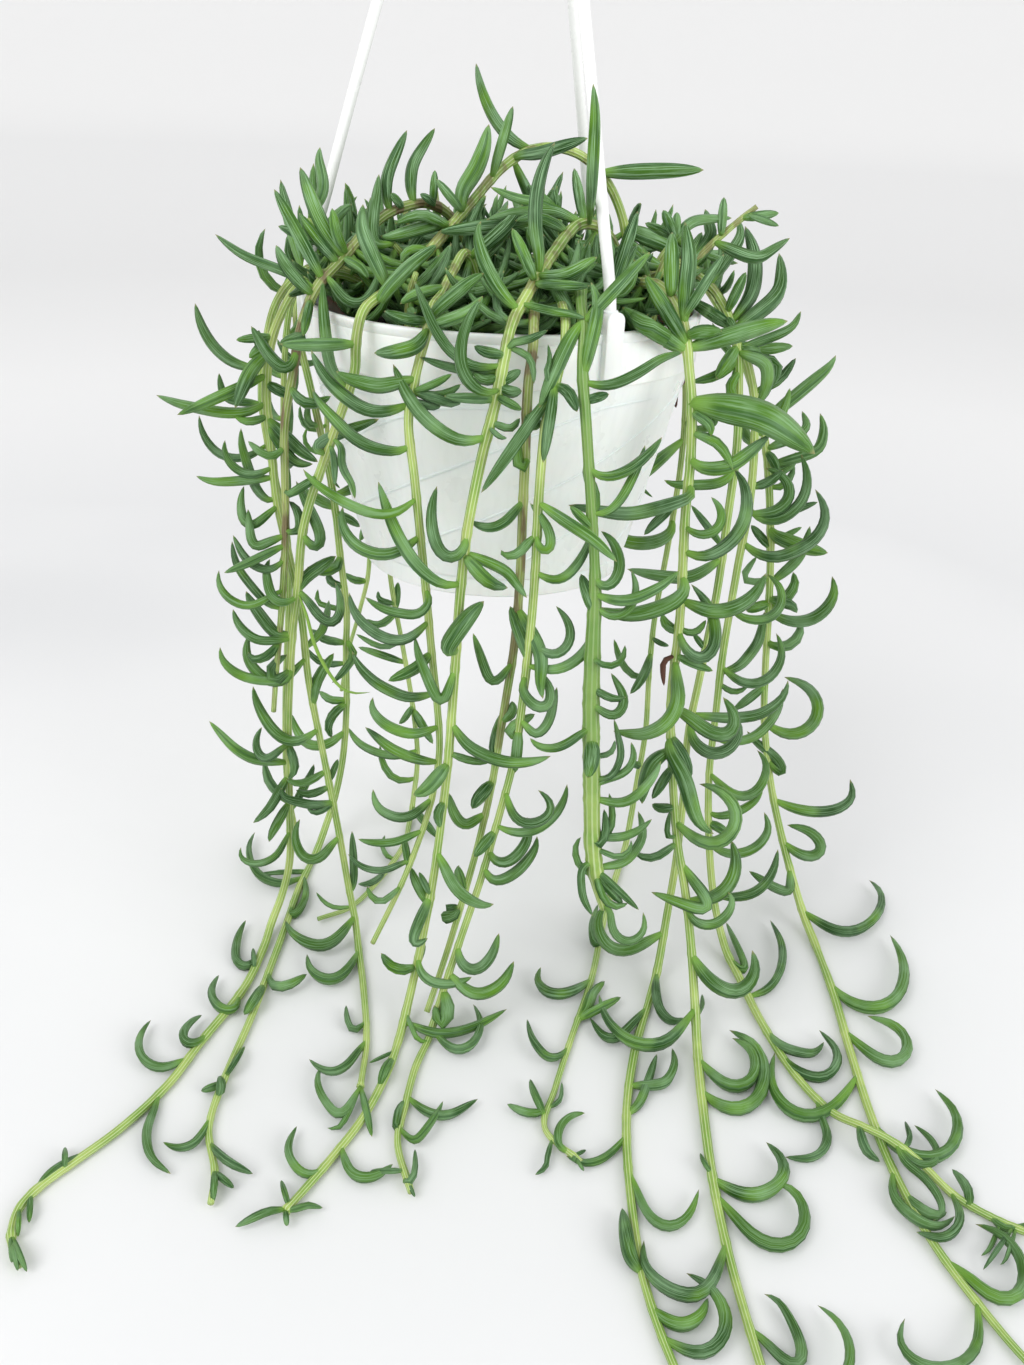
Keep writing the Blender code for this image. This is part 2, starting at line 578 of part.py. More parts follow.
def hook_route():
    """The hook's centre line: a shank on the axis, then a round bend over the bearing point."""
    centre = HOOK_HEIGHT - HOOK_INNER_RADIUS
    radius = HOOK_INNER_RADIUS + HOOK_WIRE
    turns = np.radians(np.arange(HOOK_SHANK_BEND, HOOK_END_ANGLE + 1.0, HOOK_BEND_STEP))
    bend = [(radius * math.cos(turn), 0.0, centre + radius * math.sin(turn)) for turn in turns]
    top = HUB_BOTTOM + HUB_THICKNESS
    shank = [(0.0, 0.0, top - 2.0), (0.0, 0.0, top + 3.0)]
    return smooth_route(shank + bend, HOOK_STEP)


def make_hook():
    plastic = material("hook_plastic", (0.9, 0.9, 0.9), 0.3)
    top = HUB_BOTTOM + HUB_THICKNESS
    outline = [
        (0.0, HUB_BOTTOM),
        (HUB_RADIUS - HUB_ROUND, HUB_BOTTOM),
        (HUB_RADIUS, HUB_BOTTOM + HUB_ROUND),
        (HUB_RADIUS, HUB_BOTTOM + HUB_SIDE),
    ]
    outline += [(radius, top - drop) for radius, drop in HUB_CROWN]
    outline.append((0.0, top))
    hub = turned("hanger_hook", outline, HUB_SEGMENTS, plastic)
    route = hook_route()
    keep = thinned(route, WIRE_CHORD)
    joined(hub, [tube("bend", route[keep], [HOOK_WIRE] * len(keep), WIRE_SIDES, None)])
    sockets = []
    for side, azimuth in CLIP_AZIMUTHS.items():
        centre = around(azimuth, HEAD_RADIUS, 0.0)
        bottom = HUB_BOTTOM - OVERCUT
        depth = HUB_BOTTOM + HUB_SOCKET_DEPTH
        sockets.append(post("head_" + side, centre, SOCKET_RADIUS, bottom, depth, SOCKET_SIDES))
    return cut(hub, sockets)


# How the stems grow: the rule that places the leaves, and what keeps them clear of each other


def stem_points(stem):
    """Evenly spaced points along a stem, which stands upright in its hole."""
    x, y = stem.route[0]
    foot = SOIL_CROWN - HOLE_DEPTH + GAP
    root = [(x, y, foot), (x, y, (foot + SOIL_CROWN) / 2), (x, y, SOIL_CROWN)]
    return smooth_route(root + stem.route[1:], STEM_STEP)


def stem_radii(stem, count):
    """The stem's radius at each point: it thins towards its tip."""
    share = np.linspace(0.0, 1.0, count)
    return stem.radius * (1.0 - STEM_THINNING * share**STEM_THINNING_POWER)


def segment_gaps(starts, ends, other_starts, other_ends):
    """The distances between each segment of one set and each of the other, as a table."""
    p = starts[:, None, :]
    q = other_starts[None, :, :]
    d1 = (ends - starts)[:, None, :]
    d2 = (other_ends - other_starts)[None, :, :]
    r = p - q
    a = np.sum(d1 * d1, axis=2)
    e = np.sum(d2 * d2, axis=2)
    f = np.sum(d2 * r, axis=2)
    c = np.sum(d1 * r, axis=2)
    b = np.sum(d1 * d2, axis=2)
    spread = a * e - b * b
    s = np.where(spread > 1e-9, np.clip((b * f - c * e) / np.maximum(spread, 1e-9), 0.0, 1.0), 0.0)
    t = np.clip((b * s + f) / e, 0.0, 1.0)
    s = np.clip((b * t - c) / a, 0.0, 1.0)
    t = np.clip((b * s + f) / e, 0.0, 1.0)
    near = (p + d1 * s[..., None]) - (q + d2 * t[..., None])
    return np.linalg.norm(near, axis=2)


class Crowd:
    """Everything that a new leaf must stay clear of, as round-ended segments."""

    def __init__(self):
        self.starts = np.zeros((0, 3))
        self.ends = np.zeros((0, 3))
        self.radii = np.zeros(0)
        self.owners = np.zeros(0, int)

    def add(self, points, radii, owner):
        self.starts = np.vstack([self.starts, points[:-1]])
        self.ends = np.vstack([self.ends, points[1:]])
        self.radii = np.concatenate([self.radii, np.maximum(radii[:-1], radii[1:])])
        self.owners = np.concatenate([self.owners, np.full(len(points) - 1, owner)])

    def room(self, points, radii, owner, base):
        """Whether a leaf fits: clear of other nodes, and past its foot of its own."""
        low = points.min(axis=0) - NEIGHBOUR_REACH
        high = points.max(axis=0) + NEIGHBOUR_REACH
        above = np.maximum(self.starts, self.ends) > low
        below = np.minimum(self.starts, self.ends) < high
        near = np.all(above & below, axis=1)
        if not near.any():
            return True
        thick = np.maximum(radii[:-1], radii[1:])
        gaps = segment_gaps(points[:-1], points[1:], self.starts[near], self.ends[near])
        gaps = gaps - thick[:, None] - self.radii[near][None, :]
        mine = self.owners[near] == owner
        if (gaps[:, ~mine] < GAP).any():
            return False
        from_start = np.linalg.norm(self.starts[near] - base, axis=1)
        from_end = np.linalg.norm(self.ends[near] - base, axis=1)
        apart = mine & (np.minimum(from_start, from_end) > LEAF_FOOT)
        past_foot = (gaps[1:][:, apart] >= OWN_GAP).all()
        return bool(past_foot and (gaps[2:][:, mine] >= OWN_GAP).all())


def clear_of_pot(points, radii):
    """Whether round-ended points stay out of the pot's wall and the soil, and above the floor."""
    reach = np.hypot(points[:, 0], points[:, 1])
    height = points[:, 2]
    margin = radii + POT_MARGIN
    outside = np.where(height > -BAND_HEIGHT - margin, RIM_RADIUS, wall_radius(height) + POT_MARGIN)
    outside = np.maximum(outside, WALL_FOOT_RADIUS + FOOT_PROUD)
    beside = reach > outside + margin
    below = height < -POT_HEIGHT - margin
    above = height > margin
    over_soil = (height > SOIL_CROWN + margin) & (reach < RIM_INNER_RADIUS - POT_WALL - margin)
    free = beside | below | over_soil | above
    return bool((free & (height - radii > FLOOR + FLOOR_MARGIN)).all())


def leaf_shape(profile, length):
    """The width of a leaf at each station of its profile."""
    return np.array([share * LEAF_THICKNESS * length for _, share in profile])


def leaf_line(base, outwards, bend, length, start, turn, stations):
    """A leaf's centre line: it leaves along outwards and curls towards bend."""
    fine = np.linspace(0.0, 1.0, 33)
    angles = start + turn * fine
    steps = np.outer(np.cos(angles), outwards) + np.outer(np.sin(angles), bend)
    middles = 0.5 * (steps[1:] + steps[:-1]) * (length / 32)
    line = np.vstack([[0.0, 0.0, 0.0], np.cumsum(middles, axis=0)]) + base
    return np.stack([np.interp(stations, fine, line[:, axis]) for axis in range(3)], axis=1)


def free_side(point, tangent):
    """The open side of a stem: up where it lies, away from the pot where it hangs."""
    away = np.array([point[0], point[1], 0.0])
    away = unit(away) if np.linalg.norm(away) > 1.0 else np.array([0.0, -1.0, 0.0])
    upright = abs(tangent[2])
    side = np.array([0.0, 0.0, 1.0]) * (1.0 - upright) + away * upright
    return unit(side - tangent * np.dot(side, tangent))


def rises(stem, height):
    """Whether leaves point up here: over the pot, and on every arch above its rim."""
    return stem.mound or height > ARCH_HEIGHT


def leaf_habit(stem, height, left, hand, draw):
    """How a leaf sits: its length, start and turn, and its angle round the stem from the free side."""
    habit = HANGING
    if height < LYING_HEIGHT:
        habit = LYING
    if rises(stem, height):
        habit = RISING
    if left < TUFT_LENGTH:
        habit = TUFT
    length = (MOUND_LEAF if habit is RISING else stem.leaf) * draw.uniform(*habit["size"])
    length *= min(1.0, 0.4 + 0.6 * left / TAPER_RUN)
    start = math.radians(draw.uniform(*habit["start"]))
    turn = math.radians(draw.uniform(*habit["turn"]))
    return length, start, turn, hand * draw.uniform(*habit["angle"])


def leaf_step(stem, height, left, draw):
    """How far along the stem the next leaf stands."""
    if left < TUFT_LENGTH + TUFT_PITCH:
        return TUFT_PITCH
    pitch = LEAF_PITCH
    if height < LYING_HEIGHT:
        pitch = LYING_PITCH
    if rises(stem, height):
        pitch = MOUND_PITCH
    return min(pitch * draw.uniform(0.75, 1.25), left - TUFT_LENGTH)


def upward(outwards, tangent):
    """Towards the sky, square to the leaf's first direction."""
    rise = np.array([0.0, 0.0, 1.0]) - outwards * outwards[2]
    return unit(rise) if np.linalg.norm(rise) > 0.35 else -tangent


def grow(stem, owner, crowd, seed):
    """Set the leaves of one stem by the rule, each where there is room for it."""
    draw = random.Random(seed)
    line = stem_points(stem)
    tangents = route_tangents(line)
    walked = np.concatenate([[0.0], np.cumsum(np.linalg.norm(np.diff(line, axis=0), axis=1))])
    stations = np.array([place for place, _ in LEAF_PROFILE])
    check = np.linspace(0.0, 1.0, 9)
    along = FIRST_LEAF + 3.0 * draw.random()
    hand = draw.choice((-1.0, 1.0))
    while along < walked[-1] - 1.0:
        point = np.array([np.interp(along, walked, line[:, axis]) for axis in range(3)])
        tangent = unit(np.array([np.interp(along, walked, tangents[:, axis]) for axis in range(3)]))
        left = walked[-1] - along
        length, start, turn, angle = leaf_habit(stem, point[2], left, hand, draw)
        free = free_side(point, tangent)
        cross = np.cross(tangent, free)
        for change in ANGLE_TRIES:
            spin = math.radians(angle + change * hand)
            outwards = math.cos(spin) * free + math.sin(spin) * cross
            bend = upward(outwards, tangent) if rises(stem, point[2]) else -tangent
            spine = leaf_line(point, outwards, bend, length, start, turn, stations)
            rings = leaf_shape(LEAF_PROFILE, length) * LEAF_RING_SCALE
            fine = leaf_line(point, outwards, bend, length, start, turn, check)
            if not clear_of_pot(fine[1:], np.interp(check, stations, rings)[1:]):
                continue
            if crowd.room(spine, rings, owner, point):
                crowd.add(spine, rings, owner)
                stem.leaves.append((point, outwards, bend, length, start, turn))
                break
        along += leaf_step(stem, point[2], left, draw)
        hand = -hand if draw.random() < SWAP_HANDS else hand


def grow_all():
    """Grow every stem's leaves in turn, round the stems, the arms and the clips."""
    crowd = Crowd()
    for owner, stem in enumerate(STEMS):
        line = stem_points(stem)
        crowd.add(line, stem_radii(stem, len(line)) + STEM_CHORD, owner)
    for azimuth in CLIP_AZIMUTHS.values():
        route = arm_route(azimuth)
        crowd.add(route, np.full(len(route), ARM_RADIUS), HANGER)
        foot = around(azimuth, CLIP_RADIUS, CLIP_BOTTOM)
        head = around(azimuth, CLIP_RADIUS, CLIP_TOP - CLIP_REACH + 1.5)
        crowd.add(np.array([foot, head]), np.full(2, CLIP_REACH), HANGER)
    for owner, stem in enumerate(STEMS):
        grow(stem, owner, crowd, FIRST_SEED + owner)


def make_stem(stem, look):
    """One node: the stem's tube with its leaves fused on."""
    line = stem_points(stem)
    radii = stem_radii(stem, len(line))
    keep = thinned(line, STEM_CHORD)
    base = tube(stem.name, line[keep], radii[keep] * STEM_RING_SCALE, STEM_SIDES, look)
    stations = np.array([place for place, _ in LEAF_PROFILE])
    blades = []
    for point, outwards, bend, length, start, turn in stem.leaves:
        spine = leaf_line(point, outwards, bend, length, start, turn, stations)
        rings = leaf_shape(LEAF_PROFILE, length) * LEAF_RING_SCALE
        blades.append(spindle("leaf", spine, rings, LEAF_SIDES))
    if blades:
        joined(base, blades)
    return base


def make_stems():
    green = material("stem_green", (0.09, 0.2, 0.08), 0.5)
    grow_all()
    for stem in STEMS:
        make_stem(stem, green)


def main():
    clear_scene()
    make_pot()
    make_soil()
    make_arms()
    make_hook()
    make_stems()


main()
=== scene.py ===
"""A potted string of fishhooks in its white hanging pot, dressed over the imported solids.

Lengths and routes below are in millimetres, from the centre of the rim's top plane, +Z up.
Meshes are made in metres from the bearing point inside the hook, which is the origin.
Azimuths start at the viewer's side (-Y) and grow towards +X.
"""

import math
import random

import bpy
import numpy as np
from mathutils import Matrix, Vector, noise

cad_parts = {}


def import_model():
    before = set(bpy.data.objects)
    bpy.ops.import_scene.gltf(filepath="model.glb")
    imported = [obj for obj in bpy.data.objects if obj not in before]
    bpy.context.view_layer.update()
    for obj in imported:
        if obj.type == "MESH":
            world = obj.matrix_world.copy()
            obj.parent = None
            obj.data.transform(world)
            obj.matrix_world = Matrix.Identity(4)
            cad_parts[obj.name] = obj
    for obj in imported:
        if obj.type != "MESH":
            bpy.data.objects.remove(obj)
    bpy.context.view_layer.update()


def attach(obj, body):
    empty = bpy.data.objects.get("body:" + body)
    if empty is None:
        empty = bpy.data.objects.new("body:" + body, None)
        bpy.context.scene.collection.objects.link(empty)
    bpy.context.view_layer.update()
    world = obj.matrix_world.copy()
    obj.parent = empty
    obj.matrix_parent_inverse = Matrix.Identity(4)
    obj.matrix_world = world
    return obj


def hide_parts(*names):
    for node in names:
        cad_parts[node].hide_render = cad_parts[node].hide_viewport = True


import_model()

MM = 0.001
HOOK_HEIGHT = 240.0
GAP = 0.35

# The photograph: its frame in pixels, and the camera that took it
PHOTO_WIDTH = 1024.0
PHOTO_HEIGHT = 1365.0
FOCAL_PIXELS = 1200.0
CAMERA_PLACE = np.array([9.8, -470.0, 70.9])
CAMERA_PITCH = math.radians(26.29)
CAMERA_ROLL = math.radians(2.38)
SENSOR_MM = 36.0

# Pot
RIM_RADIUS = 75.0
BAND_HEIGHT = 18.0
BAND_TAPER = 0.6
WALL_TOP_RADIUS = 72.6
WALL_FOOT_RADIUS = 52.0
POT_HEIGHT = 100.0
FOOT_HEIGHT = 7.0
FOOT_PROUD = 0.8
POT_WALL = 1.8
POT_FLOOR = 2.0
RIM_INNER_RADIUS = 72.0
FOOT_ROUND = 0.8
BAND_UNDERCUT = 0.4

# Clips on the rim that hold the hanger's arms
CLIP_AZIMUTHS = {"front": 30.5, "left": -89.5, "back": 150.5}
CLIP_RADIUS = 72.75
CLIP_DEPTH = 8.5
CLIP_WIDTH = 7.0
CLIP_TOP = 7.0
CLIP_BOTTOM = -17.0
CLIP_SOCKET_DEPTH = 10.0
CLIP_REACH = 5.6

# Hanger
ARM_RADIUS = 2.0
ARM_BOW = [(CLIP_RADIUS, 8.0), (69.8, 20.0), (65.6, 33.0), (58.2, 57.0), (50.0, 83.0), (44.4, 100.0)]
ARM_HEAD = [(36.0, 122.0), (26.5, 146.0), (16.5, 170.0), (9.0, 186.0), (6.0, 195.0)]
ARM_STEP = 5.0
HEAD_RADIUS = 6.0
HUB_BOTTOM = 195.0
HUB_THICKNESS = 10.0
HUB_RADIUS = 11.0
HUB_SIDE = 4.5
HUB_CROWN = [(6.0, 1.5), (3.4, 0.0)]
HUB_SOCKET_DEPTH = 5.0
HOOK_WIRE = 2.4
HOOK_INNER_RADIUS = 11.0
HOOK_SHANK_BEND = -52.0
HOOK_END_ANGLE = 196.0
HOOK_BEND_STEP = 12.0
HOOK_STEP = 3.0
SHANK_IN_HUB = 2.0
SHANK_OVER_HUB = 3.0

# Soil
SOIL_EDGE = -12.0
SOIL_CROWN = -9.0
SOIL_CROWN_RADIUS = 50.0
SOIL_INSET = 0.4
HOLE_DEPTH = 12.5

# Stems and leaves
FLOOR = -278.0
LYING_HEIGHT = FLOOR + 14.0
ARCH_HEIGHT = 2.0
STEM_CHORD = 0.7
STEM_STEP = 4.0
STEM_THINNING = 0.42
STEM_THINNING_POWER = 2.2
FIRST_LEAF = 16.0
FIRST_LEAF_SPREAD = 3.0
TIP_MARGIN = 1.0
MOUND_LEAF = 38.0
TAPER_RUN = 60.0
SWAP_HANDS = 0.8
ANGLE_TRIES = (0.0, 25.0, -25.0, 50.0, -50.0, 80.0, -80.0, 115.0, -115.0, 150.0)
LEAF_THICKNESS = 0.062
LEAF_RING_SCALE = 1.3
LEAF_FOOT = 7.0
OWN_GAP = 0.25
NEIGHBOUR_REACH = 12.0
HANGER = -1
FIRST_SEED = 100
POT_MARGIN = 0.5
FLOOR_MARGIN = 0.2
CLIP_HEADROOM = 1.5
LEAF_PITCH = 32.0
MOUND_PITCH = 9.0
LYING_PITCH = 42.0
TUFT_PITCH = 5.0
TUFT_LENGTH = 16.0
PITCH_SPREAD = (0.75, 1.25)
TIP_LEAF_SIZE = 0.4
STEEP_LEAF = 0.35
LEAF_PROFILE = [(0.0, 0.0), (0.3, 0.95), (0.68, 0.9), (1.0, 0.0)]
LEAF_LINE_STEPS = 32
STATIONS = np.array([place for place, _ in LEAF_PROFILE])
CHECKS = np.linspace(0.0, 1.0, 9)

# How leaves sit, in degrees: where they start from square to the stem, how far they turn,
# and their angle round the stem from its free side; and their size beside the usual one
HANGING = {"size": (0.86, 1.14), "start": (-38.0, -10.0), "turn": (105.0, 165.0), "angle": (45.0, 105.0)}
LYING = {"size": (0.86, 1.14), "start": (-38.0, -10.0), "turn": (130.0, 175.0), "angle": (68.0, 84.0)}
RISING = {"size": (0.84, 1.12), "start": (0.0, 38.0), "turn": (-10.0, 50.0), "angle": (10.0, 170.0)}
TUFT = {"size": (0.86, 1.14), "start": (-60.0, -60.0), "turn": (20.0, 70.0), "angle": (45.0, 105.0)}


class Stem:
    """One leafy stem: its route from the soil to its tip, thickness and leaves."""

    def __init__(self, name, route, leaf=31.0, radius=1.7, mound=False):
        self.name = name
        self.route = route
        self.leaf = leaf
        self.radius = radius
        self.mound = mound
        self.leaves = []


# Trailing stems, from the left of the pot to its right, as the viewer sees them
TRAILS = [
    Stem("trail_01", [(-42, -2), (-48, -5, 2), (-58, -9, 9), (-68, -11, 10), (-76, -12, 6),
                      (-83, -12, -3), (-87, -12, -15), (-90, -12, -32), (-90, -12, -46),
                      (-86, -16, -69), (-82, -18, -93), (-83, -16, -120), (-87, -14, -167),
                      (-89, -11, -208), (-87, -7, -236)]),
    Stem("trail_02", [(-40, -16), (-45, -19, 2), (-54, -24, 9), (-63, -28, 10), (-71, -31, 6),
                      (-77, -33, -3), (-82, -33, -16), (-84, -33, -34), (-83, -34, -50),
                      (-82, -34, -72), (-78, -34, -96), (-75, -32, -120), (-73, -32, -150),
                      (-68, -32, -185), (-63, -31, -222), (-60, -28, -252), (-57, -30, -270),
                      (-54, -42, -276), (-48, -70, -276), (-43, -100, -276), (-42, -126, -275)]),
    Stem("trail_03", [(-4, 10), (-9, 5, 6), (-16, -1, 24), (-26, -10, 33), (-39, -20, 31),
                      (-48, -28, 24), (-56, -36, 15), (-63, -42, 7), (-68, -46, -5),
                      (-71, -47, -20), (-75, -47, -39), (-76, -46, -58), (-77, -45, -80),
                      (-80, -43, -109), (-84, -42, -140), (-86, -42, -158)], radius=1.9),
    Stem("trail_04", [(46, 36), (48, 34, 4), (47, 30, 22), (40, 28, 38), (30, 24, 48),
                      (19, 18, 52), (8, 8, 51), (-2, -4, 45), (-12, -16, 34), (-22, -28, 23),
                      (-32, -40, 13), (-39, -55, 8), (-44, -64, 4), (-46, -68, -5),
                      (-47, -67, -16), (-53, -63, -32), (-60, -58, -50), (-66, -54, -66),
                      (-70, -51, -81), (-73, -47, -102), (-77, -42, -124), (-81, -36, -157),
                      (-83, -32, -183), (-85, -26, -212), (-87, -21, -243), (-91, -22, -262),
                      (-95, -31, -273), (-96, -46, -276), (-99, -73, -276), (-109, -105, -276),
                      (-116, -129, -276), (-128, -152, -276), (-148, -180, -276),
                      (-149, -196, -276), (-141, -209, -275)], radius=1.9),
    Stem("trail_05", [(-40, 16), (-46, 18, 3), (-57, 20, 10), (-66, 22, 10), (-74, 24, 6),
                      (-81, 26, -4), (-83, 27, -19), (-79, 27, -40), (-75, 28, -62),
                      (-71, 30, -88), (-69, 32, -116), (-67, 34, -145), (-68, 36, -166),
                      (-69, 40, -195), (-72, 45, -226), (-77, 48, -252), (-82, 44, -269),
                      (-85, 30, -276), (-88, 2, -276), (-89, -26, -276), (-90, -52, -276),
                      (-92, -90, -276), (-95, -124, -276), (-95, -148, -276), (-88, -168, -276),
                      (-86, -182, -275)]),
    Stem("trail_06", [(-34, 30), (-37, 33, 3), (-46, 43, 9), (-53, 52, 8), (-58, 58, 2),
                      (-62, 62, -9), (-64, 66, -40), (-61, 69, -90), (-61, 70, -135),
                      (-66, 70, -160), (-72, 70, -182), (-76, 69, -204)], radius=1.5),
    Stem("trail_07", [(-22, 40), (-25, 45, 3), (-33, 55, 9), (-40, 63, 8), (-45, 70, 1),
                      (-48, 76, -10), (-51, 80, -32), (-54, 85, -70), (-54, 88, -110),
                      (-53, 88, -148), (-47, 88, -186), (-42, 88, -219), (-39, 86, -249),
                      (-40, 76, -268), (-41, 62, -276), (-42, 40, -276), (-50, 12, -276),
                      (-61, -12, -276), (-75, -24, -275)], radius=1.5),
    Stem("trail_08", [(-4, -24), (-8, -28, 8), (-12, -36, 20), (-16, -48, 15), (-19, -61, 9),
                      (-21, -71, 7), (-22, -78, 0), (-25, -83, -12), (-27, -87, -26),
                      (-25, -88, -44), (-23, -88, -64), (-21, -86, -86), (-19, -86, -108),
                      (-17, -84, -130), (-16, -84, -150), (-19, -84, -172), (-24, -84, -191),
                      (-31, -84, -212), (-42, -83, -240)]),
    Stem("trail_09", [(44, 4), (44, 2, 4), (42, -6, 17), (36, -18, 27), (26, -30, 30),
                      (17, -52, 22), (9, -69, 11), (5, -79, 4), (3, -85, -6), (1, -89, -18),
                      (-3, -92, -36), (-7, -94, -60), (-9, -94, -84), (-10, -94, -106),
                      (-12, -92, -145), (-14, -90, -170), (-17, -88, -200), (-21, -84, -230),
                      (-25, -80, -256), (-28, -85, -271), (-30, -98, -276), (-33, -118, -276),
                      (-39, -140, -276), (-48, -160, -276), (-60, -184, -275)], radius=2.0),
    Stem("trail_10", [(12, -40), (12, -46, -3), (12, -58, 4), (12, -68, 7), (12, -75, 4),
                      (12, -80, -3), (11, -84, -14), (11, -86, -30), (11, -86, -55),
                      (11, -86, -80), (10, -84, -106), (7, -82, -135), (4, -79, -164),
                      (0, -77, -190), (-5, -75, -216), (-11, -74, -244), (-16, -75, -264),
                      (-20, -83, -275)], radius=1.8),
    Stem("trail_11", [(22, -40), (21, -44, 2), (21, -56, 8), (21, -68, 9), (22, -76, 6),
                      (22, -82, -1), (20, -88, -10), (17, -92, -24), (16, -94, -48),
                      (16, -94, -74), (15, -92, -104), (12, -90, -145), (7, -88, -174),
                      (1, -86, -204), (-5, -86, -228), (-11, -86, -252), (-15, -88, -268),
                      (-18, -97, -276), (-22, -114, -276), (-24, -134, -276), (-25, -152, -276),
                      (-18, -174, -275)]),
    Stem("trail_12", [(30, -30), (30, -36, 4), (28, -50, 11), (27, -62, 13), (27, -72, 10),
                      (28, -80, 3), (28, -86, -8), (30, -91, -24), (33, -94, -48), (36, -95, -74),
                      (37, -95, -100), (38, -95, -124), (40, -94, -150), (42, -93, -176),
                      (45, -92, -198), (49, -91, -212)], radius=2.0, leaf=33.0),
    Stem("trail_13", [(36, 32), (40, 35, 3), (50, 41, 9), (59, 46, 9), (66, 50, 3), (72, 53, -6),
                      (77, 57, -22), (81, 60, -50), (82, 62, -80), (80, 62, -116), (77, 62, -155),
                      (77, 62, -185), (78, 62, -216), (76, 60, -243), (74, 56, -264),
                      (71, 44, -275), (65, 20, -276), (57, -16, -276), (50, -56, -276),
                      (40, -94, -276), (33, -122, -276), (29, -142, -276), (42, -158, -275)],
         radius=1.5),
    Stem("trail_14", [(34, -20), (37, -23, 3), (45, -32, 11), (53, -41, 13), (59, -47, 9),
                      (63, -52, 1), (65, -57, -10), (67, -62, -24), (68, -65, -42), (68, -66, -60),
                      (70, -66, -100), (70, -66, -134), (74, -66, -168), (78, -69, -194),
                      (83, -73, -216), (87, -77, -238), (90, -84, -260), (91, -97, -274),
                      (90, -120, -276), (89, -158, -276), (90, -190, -276), (93, -220, -276),
                      (97, -248, -276), (102, -272, -275)], radius=1.9),
    Stem("trail_15", [(40, -6), (44, -7, 4), (55, -8, 12), (66, -9, 14), (75, -11, 10),
                      (82, -13, 2), (87, -17, -9), (89, -22, -24), (90, -28, -46), (89, -32, -74),
                      (88, -34, -103), (85, -36, -137), (83, -36, -164), (84, -36, -195),
                      (84, -37, -225), (82, -41, -254), (79, -52, -271), (75, -66, -276),
                      (66, -98, -276), (60, -134, -276), (59, -170, -276), (61, -204, -276),
                      (68, -234, -276), (77, -258, -275)], radius=1.8),
    Stem("trail_16", [(44, 12), (48, 12, 4), (58, 11, 12), (68, 9, 14), (77, 7, 9), (84, 6, 1),
                      (91, 4, -11), (97, 2, -24), (101, 0, -42), (103, 0, -74), (101, -2, -104),
                      (99, -5, -140), (99, -6, -170), (99, -9, -200), (102, -14, -232),
                      (106, -22, -257), (111, -35, -273), (115, -50, -276), (120, -78, -276),
                      (128, -107, -276), (138, -128, -275), (148, -139, -271.6),
                      (156, -145, -271.2), (165, -153, -273), (174, -164, -276), (184, -173, -276),
                      (196, -181, -275)], radius=1.8),
    Stem("trail_17", [(44, 26), (48, 27, 4), (58, 27, 11), (67, 28, 13), (76, 28, 8), (84, 28, -1),
                      (93, 27, -14), (101, 25, -30), (108, 22, -48), (113, 20, -68),
                      (118, 19, -100), (121, 18, -130), (123, 17, -158), (126, 16, -185),
                      (132, 12, -214), (139, 5, -238), (146, -2, -258), (151, -12, -271),
                      (154, -26, -276), (155, -60, -276), (154, -98, -276), (154, -130, -276),
                      (156, -158, -276), (162, -188, -276), (173, -217, -276), (183, -238, -275)],
         radius=1.8),
    Stem("trail_18", [(-38, 4), (-44, 5, 3), (-55, 6, 8), (-66, 7, 10), (-75, 8, 5), (-81, 8, -5),
                      (-84, 8, -20), (-86, 7, -45), (-87, 6, -80), (-86, 4, -112)], radius=1.5),
    Stem("trail_19", [(-10, 46), (-12, 50, 3), (-16, 61, 9), (-19, 71, 8), (-22, 79, 0),
                      (-24, 84, -14), (-25, 87, -45), (-25, 88, -85), (-24, 88, -110)], radius=1.5),
    Stem("trail_20", [(4, 44), (5, 49, 3), (6, 61, 9), (6, 72, 7), (7, 79, -1), (7, 84, -15),
                      (6, 87, -45), (5, 88, -86)], radius=1.5),
    Stem("trail_21", [(16, 44), (17, 49, 3), (20, 60, 9), (23, 70, 8), (26, 77, 0), (28, 82, -13),
                      (30, 85, -45), (31, 86, -85), (31, 86, -114)], radius=1.5),
    Stem("trail_22", [(26, 34), (31, 39, 3), (40, 48, 9), (48, 56, 8), (53, 62, 0), (57, 67, -13),
                      (60, 70, -45), (61, 71, -92)], radius=1.5),
    Stem("trail_23", [(-44, 30), (-48, 32, 3), (-56, 37, 9), (-64, 43, 8), (-69, 46, 1),
                      (-73, 49, -11), (-76, 51, -42), (-76, 52, -92)], radius=1.5),
]

